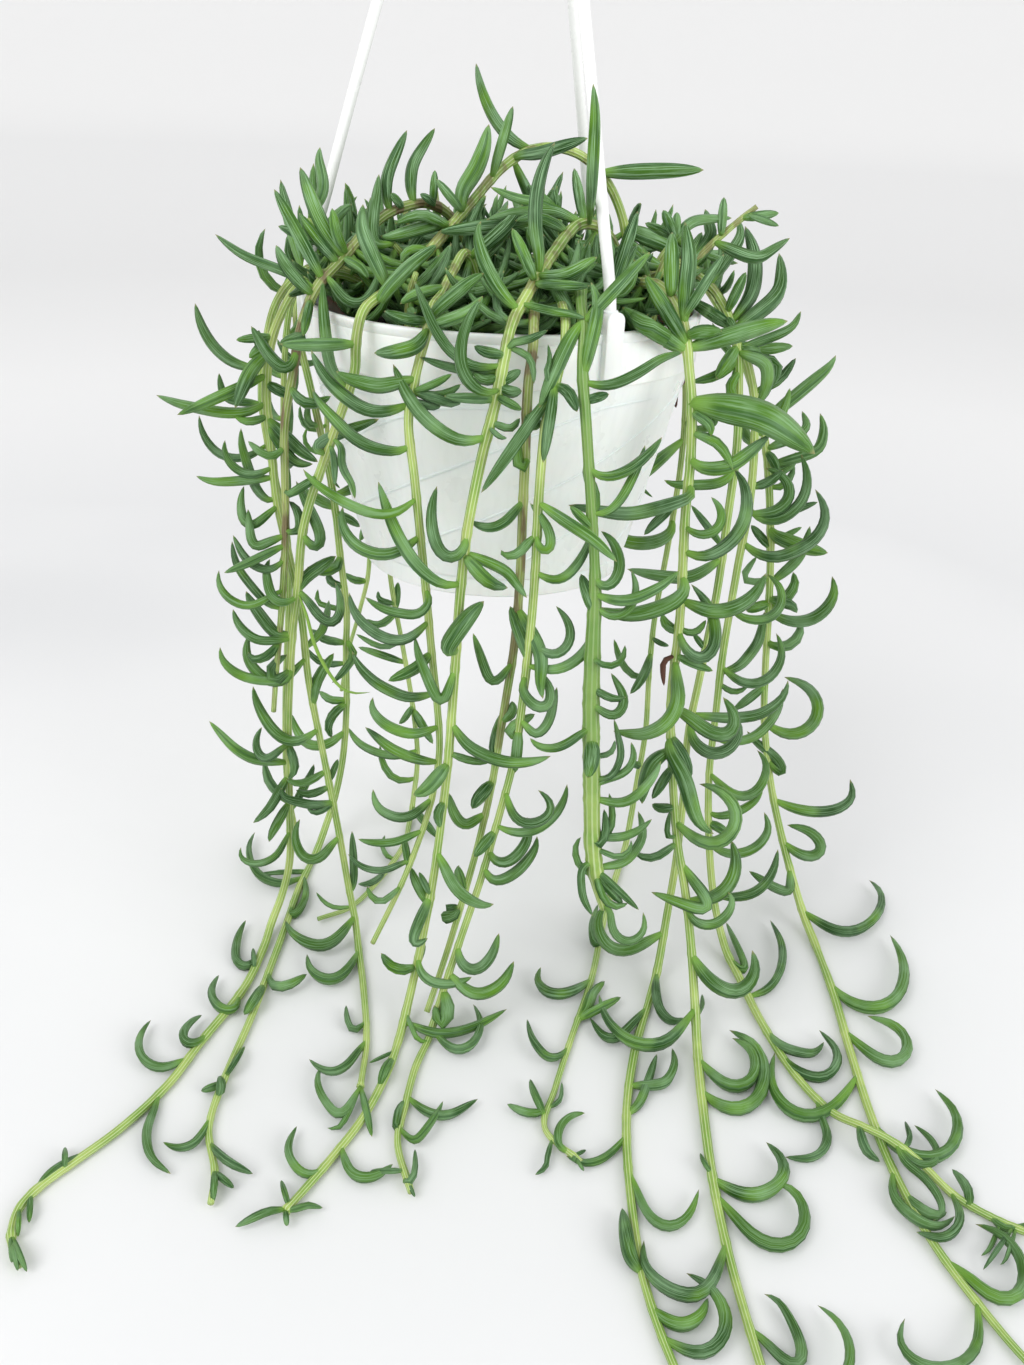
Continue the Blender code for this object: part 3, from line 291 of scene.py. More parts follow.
# Short leafy shoots that make the mound over the pot
SHOOTS = [
    Stem("shoot_01", [(-50, -14), (-54, -16, 4), (-62, -19, 16), (-68, -21, 28)], mound=True),
    Stem("shoot_02", [(-30, 14), (-31, 14, 4), (-34, 14, 16), (-38, 13, 29)], mound=True),
    Stem("shoot_03", [(-24, 30), (-24, 31, 4), (-26, 34, 18), (-28, 36, 34)], mound=True),
    Stem("shoot_04", [(-26, -18), (-28, -19, 4), (-33, -22, 14), (-38, -27, 21)], mound=True),
    Stem("shoot_05", [(-12, 24), (-12, 25, 5), (-11, 27, 22), (-9, 30, 38)], mound=True),
    Stem("shoot_06", [(-6, -34), (-6, -37, 4), (-4, -46, 10), (-1, -55, 14)], mound=True),
    Stem("shoot_07", [(14, -14), (14, -15, 5), (13, -19, 20), (11, -24, 30)], mound=True),
    Stem("shoot_08", [(24, 6), (24, 6, 5), (22, 5, 20), (19, 4, 32)], mound=True),
    Stem("shoot_09", [(50, -26), (52, -27, 4), (56, -28, 16), (60, -28, 27)], mound=True),
    Stem("shoot_10", [(54, -18), (57, -20, 4), (66, -24, 17), (76, -26, 28), (87, -27, 38)],
         mound=True),
    Stem("shoot_11", [(54, 20), (56, 20, 4), (62, 20, 17), (70, 19, 28)], mound=True),
    Stem("shoot_12", [(12, 30), (12, 31, 5), (13, 36, 20), (14, 42, 34)], mound=True),
    Stem("shoot_13", [(-20, 4), (-21, 3, 5), (-23, 0, 14), (-25, -4, 21)], mound=True),
    Stem("shoot_14", [(-30, -52), (-30, -53, 3), (-29, -57, 10), (-27, -61, 16)], mound=True),
    Stem("shoot_15", [(38, -46), (38, -47, 3), (38, -49, 10), (36, -50, 17)], mound=True),
]

STEMS = TRAILS + SHOOTS

# Stems at the back, which the photograph doesn't show
OUT_OF_SIGHT = ("trail_18", "trail_19", "trail_20", "trail_21", "trail_22", "trail_23")

# Leaves drawn over the photograph. Each line is one leaf: how wide it is in pixels, then the
# pixels that its middle line passes, from the stem to its tip
LYING_LEAVES = {
    "trail_02": """
11 348,918 343,932 331,943 318,946 303,941 291,932 285,920
10 357,952 350,966 341,976 329,980 317,976 309,967 307,954
7 361,1022 356,1030 351,1029 347,1018 346,1005
8 362,1040 356,1054 346,1066 333,1072 319,1068 309,1059
9 352,1115 341,1115 328,1105 319,1090 317,1076 322,1065
6 351,1120 341,1126 327,1128
7 366,1088 365,1105 372,1137
""",
    "trail_04": """
9 262,954 252,964 243,967 236,960 236,945 240,931 246,920
5 252,968 253,948
9 248,1002 236,1008 224,1010 215,1003 211,993 213,984 219,975
9 207,1036 198,1042 189,1044 183,1039 184,1030 191,1022 202,1015
9 186,1057 175,1064 163,1068 150,1065 141,1056 138,1044 142,1031 151,1020
9 163,1097 154,1110 147,1128 147,1145 153,1160 171,1174
6 62,1164 65,1147
7 36,1190 46,1176 60,1165 86,1152
6 38,1200 29,1223
5 25,1212 18,1237
6 14,1235 12,1263
6 15,1237 18,1271
6 16,1235 27,1272
""",
    "trail_05": """
8 284,900 290,916 298,912 306,895 304,875
5 290,862 258,874
5 292,865 278,872 263,877
9 270,974 271,984 280,987 293,983 307,974
10 258,984 244,1015
8 219,1082 210,1088 201,1091
9 224,1098 221,1088 220,1076
6 229,1080 245,1046
8 208,1118 203,1132 193,1144 180,1148 170,1146 163,1142
8 212,1142 219,1154 232,1164 253,1174
7 212,1172 234,1188
7 208,1170 213,1203
4 214,1176 217,1187
""",
    "trail_09": """
9 428,895 414,935 416,945 428,938
9 416,967 404,970 391,966 381,953
8 416,958 420,971 430,981 445,984 460,982 472,977
5 411,1013 412,1028 418,1040 431,1042
5 424,968 425,944
9 421,1026 433,1033 450,1033 468,1029 488,1020 507,1009
9 392,1058 385,1070 379,1086
4 392,1050 369,1063
9 324,1168 315,1174 304,1174 294,1165 288,1152 290,1139 297,1126
10 347,1152 347,1165 354,1175 366,1178 380,1174 393,1164
8 286,1208 266,1212 235,1227
6 288,1205 281,1180
7 292,1215 299,1208 308,1205 323,1208
6 288,1212 287,1226
""",
    "trail_10": """
6 432,900 444,909 458,905
9 432,908 443,918 455,915 459,908
6 461,890 458,866
""",
    "trail_11": """
9 457,947 460,961 470,970 482,967 493,953 499,933
10 452,974 461,986 474,994 489,992 504,981 514,961
9 438,1031 444,1043 455,1050 467,1048 477,1038 481,1023 478,1012 473,1004
12 446,990 448,1010 441,1025 434,1005
9 402,1128 396,1130 398,1112 404,1100
9 413,1098 422,1109 436,1115 452,1114 478,1099
8 407,1128 410,1139 418,1139 438,1112 443,1101
7 398,1179 404,1183 411,1181 415,1170 415,1149
6 395,1174 370,1171
4 402,1186 415,1197
4 402,1184 410,1188
""",
    "trail_13": """
10 586,979 577,989 563,994 549,993 539,985 537,976 541,967
10 588,1023 587,1010 592,994 605,981
9 587,1023 621,997
8 567,1047 560,1056 549,1058 539,1049 531,1036 527,1019
8 548,1110 537,1113 524,1112 507,1104
8 548,1116 534,1092 530,1079
5 553,1111 560,1100 562,1082
9 566,1156 559,1146 558,1133 563,1122 573,1115 585,1113
6 542,1148 547,1158 546,1167 535,1175
4 572,1158 586,1150
4 573,1160 584,1171
4 572,1158 575,1162
""",
    "trail_14": """
12 693,955 703,973 720,988 738,992 751,982 756,966 752,950
12 688,1008 681,1028 667,1042 650,1046 631,1042 614,1029 603,1012 599,994
5 699,1018 702,1006 702,994
12 702,1058 712,1074 728,1086 744,1086 755,1075 756,1060 748,1046 732,1038
14 702,1092 715,1103 734,1110 752,1105 763,1088 764,1064 753,1043 729,1030
5 708,1176 705,1164 700,1153
14 720,1178 733,1191 752,1196 771,1190 784,1176 783,1160 766,1142
13 723,1194 735,1217 755,1238 777,1247 796,1242 806,1224 803,1202 791,1187 772,1181
13 720,1246 719,1265 711,1284 697,1296 676,1293 655,1280 643,1262 644,1240
12 757,1325 766,1342 781,1358 798,1368 803,1352 797,1333 788,1315 777,1298 764,1294
11 790,1380 812,1392 838,1385 850,1365 849,1340 836,1318 817,1305
""",
    "trail_15": """
10 657,972 656,993 661,1012 673,1022 685,1018
9 641,1006 632,1024 617,1038 603,1036 590,1018
10 650,1089 662,1084 671,1074 675,1061 672,1048
10 634,1115 641,1100 657,1054
8 623,1135 614,1150 600,1160 584,1163 566,1156
10 634,1170 639,1196 649,1216 665,1227 680,1224 692,1210 699,1189
14 637,1275 630,1255 622,1208
13 657,1308 668,1321 684,1325 700,1316 708,1298
14 668,1335 682,1349 701,1354 718,1345 727,1323 720,1299 705,1283 686,1273
""",
    "trail_16": """
9 752,995 767,990 779,974 783,955 780,938 770,920
9 764,1033 780,1045 798,1052 815,1053 824,1042
10 778,1055 793,1068 811,1077 826,1077 837,1065 837,1050 819,1030
9 811,1106 822,1119 828,1136 822,1152 807,1159 785,1157
9 854,1134 866,1150 880,1162
9 888,1157 905,1162 925,1178 939,1197 943,1213 932,1222
8 895,1152 915,1163 933,1164 938,1152 929,1137 914,1125
6 905,1149 910,1138 905,1121
9 950,1196 960,1212 957,1228 942,1238 916,1232
9 960,1222 969,1208 969,1193 962,1180 952,1169
7 990,1218 1002,1227 1013,1229 1028,1223
5 995,1237 990,1248 981,1256
5 1002,1250 983,1270
4 1007,1251 1006,1259 1000,1265
""",
    "trail_17": """
9 773,799 793,808 815,812 838,809 853,797 850,779
9 785,842 797,853 812,857 822,850 818,838 805,829 787,825
10 809,909 822,924 840,932 859,930 875,918 883,902 880,889 869,880
12 828,986 846,1000 866,1008 884,1007 899,995 905,974 901,953 890,935
11 848,1031 862,1047 880,1060 896,1063 908,1053 907,1038 893,1024 867,1016
12 849,1078 845,1094 831,1109 811,1117 791,1112 776,1096 770,1075 775,1052
12 877,1126 890,1143 908,1154 930,1159 948,1152 958,1135 956,1112 935,1089
10 884,1175 893,1195 908,1213 927,1225 943,1226 955,1216
12 904,1196 918,1208 934,1216 947,1212
13 952,1255 970,1278 990,1296 1010,1301 1024,1290 1025,1268 1014,1247 998,1231 975,1224
11 972,1304 979,1325 978,1345 965,1362 945,1369 922,1366 904,1352 898,1335 905,1318
""",
}

# These are given to the stem that they start nearest to
HANGING_LEAVES = """
7 276,590 257,604 247,606 236,603 225,595 218,582 219,570
7 277,607 268,604 242,574 234,556 232,541
7 278,545 250,562 224,573
7 281,560 276,567 267,570 257,567 247,560 240,550 233,535
8 291,598 284,603 277,601 270,592 266,569 270,559
10 287,633 279,635 270,628 251,602 246,591
8 287,638 267,641 255,639 244,631 236,620 233,609
8 283,643 270,654 260,659 252,659 248,652
9 299,668 290,677 280,682 270,681 260,675 251,665 246,652 249,634
8 296,672 285,679 272,681 258,680 242,676 229,668 221,658 220,647
9 292,668 283,677 273,680 270,671 276,662 287,655
9 310,731 303,740 293,742 283,739 272,729 262,714 255,698 253,686
8 283,762 257,760 245,755 232,746 209,721
7 283,742 275,754 267,759 260,756 256,747 257,736 262,727
7 287,803 271,785 266,772 264,761
8 286,774 280,790 272,805 262,816 253,823
7 292,802 272,833 269,842
6 285,830 284,843 277,855 266,862 255,864 244,861 239,854 241,847
8 300,876 292,881 282,884 272,882 261,877 253,867 249,855 249,843 255,832
8 331,838 329,848 323,856 315,860 306,859 299,851 295,839 296,827 300,819
7 324,770 315,778 304,783 294,783 286,779
7 324,788 315,793 305,794 296,790
6 308,806 310,776 314,764
8 328,803 315,805 294,801 284,797 281,787
5 328,806 319,812 312,812 307,807
8 343,731 337,738 328,744 317,746 307,744 300,736 295,727 291,713
5 330,783 338,759
7 350,893 354,880 352,831
4 347,907 339,908 330,906 322,900 316,892
8 431,588 430,600 424,610 415,615 390,611 376,605 365,597
9 424,620 418,632 408,639 395,641 380,636 368,628 357,617 351,604 349,592
5 404,640 392,646 378,646 356,634
6 397,613 382,624 374,624 366,619
6 406,607 398,582
6 403,663 358,647
9 429,693 418,697 405,697 379,685 366,674 357,663 352,651
9 434,653 416,668 388,681
9 450,668 446,697 441,703 435,695 421,662 416,646 415,636
13 459,650 450,653 447,647 466,620 484,601 12
8 508,662 505,672 500,679 494,682 488,677 473,633
10 521,660 527,656 525,646 510,606
10 521,608 540,652 540,684 543,699
8 538,645 544,652 552,655 560,653 568,645 571,632 566,618 556,606
9 521,674 522,689 530,702 540,708 549,705 551,695 548,684 540,671
8 525,720 529,729 535,735 544,729 551,715 557,687
9 514,737 508,732 514,726 535,714
8 509,722 512,712 512,701
9 494,762 495,745 504,710
9 520,728 515,773
10 455,722 459,735 468,746 482,754 500,761 518,763 536,761 551,756
7 453,752 465,759 480,762 490,762
8 585,728 578,736 568,743 556,748 544,748 535,744 530,738
9 435,727 424,732 412,734 399,731 386,725 376,716 371,706 373,697
7 409,709 433,744
5 408,706 405,718 399,724
8 433,762 420,760 392,749 365,727
7 414,750 400,756 386,755 373,751 360,744 352,735 348,727
6 414,778 404,781 393,778 385,768 381,757 380,745
11 449,763 432,784 422,792 413,795
6 414,804 405,809 396,808 386,798 379,785 376,772
8 430,798 423,807 413,815 401,818 389,815 379,809 374,799 373,789
8 416,808 438,838
7 440,800 438,814 440,828
9 480,812 474,821 466,825 458,820 452,808 449,793
10 495,783 478,799 472,809
8 507,793 510,808 517,820 530,824 545,819 552,808 547,797 538,790
8 498,826 508,831 521,833 536,830 549,821 559,810 566,795 567,784
9 498,832 474,857
9 487,850 491,857 500,863 510,861 520,852 527,840 529,828 527,817
9 485,868 488,876 493,881 502,880 515,873 527,861 536,847 537,836
10 442,853 445,868 451,881 461,894 474,902 486,906 494,904
6 463,893 457,875 459,865
6 410,867 404,837
7 427,905 415,880 411,867
5 424,894 419,872
7 424,831 398,841 382,843 368,842 358,839
6 409,857 398,865 386,870 372,870 359,865 348,854
5 398,861 388,857 382,846 385,835
6 386,872 376,880 367,884 358,884
6 399,886 387,899 379,902 370,895 367,886
9 532,665 543,669 555,670 567,666 580,657 590,644 597,628 601,613
9 591,468 597,475 606,477 617,475 630,469 643,459 655,447 662,437
10 681,440 652,466 636,477 597,488 562,504
8 594,514 603,514 613,508 623,496 640,462 645,445
12 687,486 695,492 690,498 643,512 625,514 605,512 568,505
10 590,520 594,515 595,502 593,490 583,467
7 587,528 579,515 570,506
9 543,502 565,521 595,541 617,562
9 594,574 597,583 604,587 611,585 617,577 620,565 617,550 610,538 601,531
8 541,572 548,579 558,580 568,575 579,562 587,547 591,531
10 592,613 581,574
11 678,521 672,531 663,539 650,543 635,543 620,539 597,524
7 677,505 656,522 644,535
12 690,459 697,466 709,469 723,468 737,462 770,435
9 736,468 728,478 714,484 682,485 672,484 664,480
8 688,526 694,533 703,535 713,532 720,525 722,514 717,503 711,497
6 719,547 711,531 691,505
11 689,550 696,557 705,557 718,552 732,541 742,527 747,510 746,490 740,475 733,468
10 720,557 711,566 698,574 684,578 654,575 627,569
9 599,593 608,599 622,601 637,598 663,585 680,570
7 600,606 605,614 614,617 625,613 632,605 636,592 635,580 631,570
13 680,577 686,584 684,593 674,602 660,608 643,613 625,615 608,612 601,607
12 684,599 695,606 708,611 723,611 737,607 750,599 760,587 766,573
10 679,630 682,644 690,655 700,660 709,656 715,645 716,632 713,616 706,601 691,584
6 682,628 690,633 699,630 706,620
8 672,632 666,624 662,614
6 589,655 597,662 608,666 618,664 624,655 625,645
6 646,676 636,677 627,670 620,660 614,639
7 652,652 647,668 639,683 630,694
6 600,688 606,696 616,699 626,697
8 596,704 603,712 613,716 620,712 624,703 622,692 611,673
6 598,778 606,779 614,773 619,763 621,750 614,719
5 599,755 606,755 613,750 615,740
7 600,786 608,779 620,775 630,767 634,755 631,742
6 648,768 633,764
12 667,658 677,685 679,698 674,713 666,724 654,731 640,735 613,731
13 660,738 668,748 684,778 694,813 702,827 714,834
8 670,736 680,750 687,764 691,778
11 661,750 653,762 647,776 643,790 642,804
8 600,797 610,802 622,803 635,797 647,785 656,773 661,761
8 668,768 652,799
7 668,808 660,808 652,804
12 681,706 692,719 704,729 717,735 728,735 735,726 734,713 723,697
10 689,722 692,738 700,748 712,754 726,751 736,741 740,728 737,717
7 757,686 742,704 733,710
8 715,773 721,785 732,794 745,797 757,791 764,780 767,766 763,756 757,750
7 708,812 717,816 732,814 745,808 756,800 763,790
9 727,674 738,667 750,654 759,640 765,611
5 722,683 730,691 740,691 748,686
4 653,637 660,643 669,646
7 680,656 690,662 713,671
5 703,650 693,633
12 592,740 592,755 588,778
9 262,402 252,411 236,413 218,412 180,404 156,395
9 263,375 230,392 177,415
9 252,370 236,364 220,353 209,340 200,322 195,303
7 236,408 228,399 221,386 219,373
10 268,352 256,364 246,380 235,408
6 262,416 254,421 244,421 234,416
7 261,446 254,454 243,458 231,458 219,454 208,443 201,429 199,415
7 266,468 258,474 247,474 236,469 228,460 224,450 225,440
8 277,497 270,502 262,496 254,484 244,454 241,441 241,428
8 264,477 250,480 219,482 206,480 196,476
8 268,508 260,521 252,526 244,521 241,510 241,497 244,486
8 268,534 264,544 257,547 251,539 248,509
7 281,447 276,455 268,456 259,451 248,441
9 271,427 275,438 292,459 302,464 313,464
9 268,420 300,450 318,462
10 297,352 292,365 285,369 276,363 266,351 251,326
8 268,383 280,391 292,396
9 296,388 299,399 308,404 320,402 331,396
6 318,427 310,424 307,414 309,404
11 404,402 394,410 380,412 366,410 352,402 338,391 326,378 317,364 311,350
10 342,388 334,374 328,356 323,306 323,280
11 404,378 392,384 376,386 347,378 336,371
10 416,444 405,451 388,451 370,447 354,438 340,425 317,400 312,388
10 324,452 316,451 318,444 346,431 379,419
5 337,446 334,458 335,486
6 336,440 342,448 341,460 345,473 352,484 355,499
9 330,495 343,493 357,486 371,476 395,450 404,434
9 410,500 402,510 388,515 370,513 352,506 335,497 310,479 303,469
9 303,532 309,544 317,549 321,540 317,525 296,481
8 338,507 325,503 314,497 304,489
8 303,470 288,495 286,489
8 288,530 295,533 300,527 299,515 295,507 289,501
10 416,535 409,545 398,552 383,555 368,552 355,545 346,534 341,520 343,506
7 345,512 352,521 360,527
6 361,518 360,541
11 460,582 450,587 436,582 422,571 409,555 398,536 389,515 378,481
12 482,434 473,441 460,441 445,434 430,423 416,408 405,391 393,364
10 469,533 465,547 457,557 447,558 438,549 433,534 431,516 433,500 437,486
9 520,500 515,511 506,521 495,527 483,527 470,521
10 541,386 481,493
9 561,386 543,463
9 560,385 567,391 573,401 577,412
12 532,418 540,428
9 529,456 527,466 521,468 517,459 521,438
8 531,534 526,545 519,553 510,556 503,555 501,550
8 533,535 538,546 546,552 551,545 549,531 541,517 530,503
10 499,391 488,394 474,388 464,375 460,358 463,335 471,315 481,298 20
9 501,388 510,392 522,391
7 500,398 522,410
7 494,421 503,427 512,428 520,418
4 494,429 500,437 507,438
8 409,387 422,394 436,396 450,392 461,384
8 440,396 447,402 457,404 462,400
7 424,403 433,407 441,406
8 474,395 452,397 444,396
6 603,842 608,834 612,821 612,808 609,793
7 588,836 594,844 601,845 605,836 606,824 604,809
7 600,838 620,837 631,834 642,828 652,819
8 601,868 620,864 629,858 637,848 643,836 642,823 638,811
5 602,846 608,854 616,857 625,855 631,848 631,840
7 673,842 666,851 656,857 648,858 640,856 633,851
5 674,836 669,838 667,830 670,811
6 594,876 586,872 578,863 575,851 577,842 581,837
7 588,862 582,868 582,892 586,904 593,916
7 597,872 598,884 602,895 609,904 618,907 628,903
8 602,872 623,905
6 604,866 639,910
10 655,930 637,947 622,951 609,947 601,937 597,924 600,912 606,904
7 606,900 611,912 611,925 617,937 627,942 637,939 645,928 643,912
8 599,925 600,938 596,946 593,938 592,925 598,904
11 678,822 686,832 697,840 710,845 722,842 732,833 737,820 735,806 725,794 712,786 699,784
7 703,822 712,824 721,829 729,836
8 708,842 718,850 730,854 743,853 755,848 765,838 769,826 764,812
10 675,864 696,884 706,897 709,907 698,909 651,892
11 686,900 698,901 712,898 724,891 732,880 736,866 735,852 731,840
8 686,908 692,919 703,925 715,924 725,917 732,906 732,896 728,892
8 712,893 723,897 736,897 749,895 760,889 769,879 775,866 778,849
8 787,868 790,891 781,890 770,885 749,871
8 732,957 743,972 744,962 726,922
9 752,508 757,517 768,521 781,519 792,512 802,501 807,487 807,472 801,454
9 757,514 768,513 779,509 788,500 790,489 785,479 776,472 765,468
7 762,548 751,525
10 743,543 753,552 767,557 781,557 809,544 820,533 826,519 824,504 815,489
11 764,528 774,535 787,541 813,550 828,553
9 767,584 789,568 799,557 806,543 810,526
5 800,543 802,527
6 785,518 806,506 818,502
6 764,580 753,582 743,577 757,556
8 733,610 741,617 752,620 764,620 774,615 781,605 782,592 776,581 767,574
9 768,604 778,603 788,596 795,584 793,572
10 771,612 782,619 796,622 810,620 822,613 831,602 835,590 832,576
8 783,600 791,605 797,613
8 764,603 746,611
8 727,667 733,677 743,683 756,684 768,679 777,669 782,657 781,643 776,633
9 764,640 773,646 784,647 794,642 800,632 801,620
7 765,452 773,460 779,473
9 783,474 790,465 796,452
8 752,487 764,484 775,478 783,470
6 768,486 776,488 785,484 792,474 794,464
9 695,714 725,718 754,716 767,711 779,702 787,691 788,680
8 718,738 728,742 740,741 752,738 763,730 773,718 780,705 783,688
10 768,722 777,731 790,735 804,732 814,723 819,710 816,697 808,687 797,681 784,677
8 769,760 776,770 783,774 781,765 773,755 755,741 747,731
9 354,552 337,567 320,571 307,567
9 298,591 306,577 320,567 336,556
8 303,590 309,602 319,616 332,624 340,614 340,596 335,582
5 326,612 320,604 317,597 318,589
7 316,648 322,631 327,614 329,600
8 312,706 315,686 324,668 334,653
6 344,663 327,664 314,658 307,648
6 344,643 324,639 312,629
7 352,640 354,655 342,673 332,683
6 367,582 354,580 344,573
5 386,606 380,600 378,591
7 337,587 331,582 328,572
7 346,699 331,700 319,691
8 342,703 334,713 328,727 332,738
7 302,657 292,673 280,683 272,680 275,664 288,654
10 468,556 478,572 492,584 508,588
9 490,556 504,570 516,584 527,598
7 300,742 295,768 288,780
9 503,366 482,368 464,362 448,349 434,327 424,304 414,280 2
6 494,349 512,343 530,339 548,330
4 541,386 546,374 550,360 548,344
6 520,348 528,356 533,368 534,384
8 505,384 512,376 521,370
8 500,356 486,352 474,346
9 497,377 484,380 473,372
7 500,372 478,372 454,368 436,363 420,357 -2
6 414,392 424,388 438,382 452,374
"""
MOUND_LEAVES = """
8 306,283 288,273 249,258 231,247 215,234
10 318,298 306,289 294,276 283,261 276,245
11 322,279 274,189
9 303,254 278,226
12 348,260 338,249 327,233 316,211 300,167
10 341,265 312,232 299,213
9 323,208 323,190 319,160 320,147
9 328,236 332,223 341,212 352,204
9 344,252 338,238 332,208
12 375,272 364,236 362,220 363,204
10 375,258 373,240 379,174
10 392,214 387,200 386,185 390,168 407,130
10 415,204 411,190 411,175 415,160 435,128
7 433,205 435,170
8 452,204 436,179
6 434,205 427,198 420,194
7 405,215 391,193
13 450,206 462,192 475,171 484,148 489,124
11 452,225 436,225 390,237 380,236
9 440,218 424,215 408,218 395,224
12 505,226 438,232
12 521,310 508,301 496,285 485,264 479,245 477,231 481,221
12 388,306 381,304 383,295 410,266 438,244
10 340,289 345,299 354,304 364,302 372,293 377,281 379,269
8 350,262 360,267 369,279
9 426,322 406,319 384,311
7 540,314 556,312 571,314 586,319
10 455,330 468,312 483,296
11 430,322 440,307 470,282 484,273
9 442,286 414,295 400,304
8 425,245 412,249 403,256 402,264
10 533,149 518,144 504,132 491,113 481,88 476,63
9 488,175 513,106
10 509,154 520,155 540,153 588,138
11 547,281 540,258 536,235 535,211 538,186 545,162 555,142
9 586,240 594,145 595,110 593,83 60
9 584,212 574,168
13 606,169 655,171 704,170
9 583,205 538,203 518,199 490,187
7 538,197 527,185
7 547,200 554,189
10 580,216 558,212 532,211 508,214 486,220
10 571,236 560,227 546,220 530,217 515,221
11 480,252 506,226 523,204
9 514,252 528,226
10 532,280 527,262 512,228
11 550,282 566,275 597,257
9 546,292 577,286 590,286
12 556,275 570,312 573,328
12 573,322 567,345 539,409
11 585,378 588,355 598,308 591,282
11 598,322 650,252
11 616,290 627,243 638,211
8 617,290 632,254 638,244
13 636,226 667,246 682,258
8 662,232 645,223
8 706,218 724,197
9 656,236 690,223 710,219 732,218
9 664,232 663,210
8 683,228 677,212
13 673,327 687,280 689,258 685,222
13 668,300 672,232
12 702,282 710,240 709,225 705,209
9 694,285 702,232
10 716,276 737,244 741,232 737,218
12 741,320 750,298 755,275 754,252 745,226
12 766,322 775,298 781,274 779,253
10 735,264 754,258 772,250 790,238
8 760,241 779,213
6 766,236 779,226
9 717,318 746,272
9 705,314 724,254
8 774,344 788,330 801,311
13 683,350 761,327 788,321
10 678,337 700,332 722,331
9 764,345 793,346
12 748,345 756,350 760,348
10 780,420 826,370 836,355
8 765,392 778,381 796,358
8 768,436 778,420 786,403 790,388
23 688,403 748,412 770,420 792,435 815,454
9 590,381 601,386 618,383 640,372 662,358 684,352
8 586,400 609,394
13 671,354 640,322 622,307
12 668,346 645,275
7 745,327 728,317
10 722,330 712,314 690,300
9 806,462 815,452 822,440 824,428 820,413
8 803,445 805,430 802,411
10 716,350 716,379
9 738,358 726,370 710,378 692,382
11 752,352 764,362 768,378 763,396 757,404
8 728,372 730,388 738,402
8 768,350 776,362 776,378 770,388
8 703,412 709,424 711,436
8 703,432 716,442 727,456 733,470
12 434,330 416,346 394,352 374,353
9 312,340 306,336 279,344
10 340,342 302,345 280,344
8 312,300 303,336
9 264,336 249,358
7 262,334 236,340
7 262,350 258,344 259,330
"""

# One green side shoot and three thin roots, written like the leaves
SIDE_SHOOTS = """
3 299,592 307,616 314,644 327,670 342,690 356,694 371,692
"""
BROWN_ROOTS = """
4 667,362 664,370 665,380
5 677,380 675,390 676,408
5 668,655 664,661 663,673 664,686
"""

# The mound's edge in the photograph, without the single leaves that stand out of it
MOUND_OUTLINE = [(262, 318), (276, 272), (304, 246), (330, 226), (352, 214), (376, 200), (400, 205),
                 (430, 206), (462, 192), (488, 190), (520, 198), (560, 205), (590, 205), (606, 232),
                 (650, 232), (690, 228), (722, 236), (748, 262), (764, 296), (772, 326), (784, 352),
                 (792, 392), (806, 430), (800, 462), (764, 486), (716, 470), (700, 420), (690, 360),
                 (640, 330), (600, 330), (560, 338), (520, 372), (470, 392), (420, 380), (380, 330),
                 (330, 322), (300, 330)]


# Places, lines and rings

CURVE_POINTS = 16
NEARLY_UPRIGHT = 0.8


def world(point):
    """A point in millimetres from the rim, as metres from the hook."""
    return (point[0] * MM, point[1] * MM, (point[2] - HOOK_HEIGHT) * MM)


def level(height):
    """A height in millimetres from the rim, as metres up from the hook."""
    return (height - HOOK_HEIGHT) * MM


def around(azimuth, radius, height):
    """The point at this azimuth and radius from the pot's axis."""
    angle = math.radians(azimuth)
    return (radius * math.sin(angle), -radius * math.cos(angle), height)


def unit(vector):
    return vector / np.linalg.norm(vector)


def ring_frame(tangent, old_side):
    """Two directions square to the tangent that turn as little as possible from the last ring's."""
    side = unit(old_side - tangent * np.dot(old_side, tangent))
    return side, np.cross(tangent, side)


def first_side(tangent):
    """A direction that isn't along the first tangent of a route."""
    return np.array([0.0, 0.0, 1.0]) if abs(tangent[2]) < NEARLY_UPRIGHT else np.array([1.0, 0.0, 0.0])


def ring(centre, side, other, radius, sides):
    turns = [2 * math.pi * k / sides for k in range(sides)]
    return [centre + radius * (math.cos(turn) * side + math.sin(turn) * other) for turn in turns]


def wall(low, sides):
    """The faces between one ring, whose points start at low, and the next."""
    pairs = [(low + k, low + (k + 1) % sides) for k in range(sides)]
    return [(here, after, after + sides, here + sides) for here, after in pairs]


def tube_faces(count, sides):
    """The faces of a closed tube with this many points: its walls, and its two ends."""
    last = count - sides
    walls = [face for low in range(0, last, sides) for face in wall(low, sides)]
    return walls, [tuple(range(sides - 1, -1, -1)), tuple(range(last, count))]


def route_tangents(centres):
    """The direction of a route at each of its points."""
    ends = np.vstack([centres[1:2], centres[2:], centres[-1:]])
    starts = np.vstack([centres[:1], centres[:-2], centres[-2:-1]])
    steps = ends - starts
    return steps / np.linalg.norm(steps, axis=1)[:, None]


def read_off(where, places, rows):
    """The rows' values at other places, straight between the given ones."""
    return np.stack([np.interp(where, places, column) for column in rows.T], axis=-1)


def walked_along(line):
    """How far along its line each point lies."""
    return np.concatenate([[0.0], np.cumsum(np.linalg.norm(np.diff(line, axis=0), axis=1))])


def nearest(line, point):
    """Which point of a line lies nearest to this one."""
    return int(np.linalg.norm(line - point, axis=1).argmin())


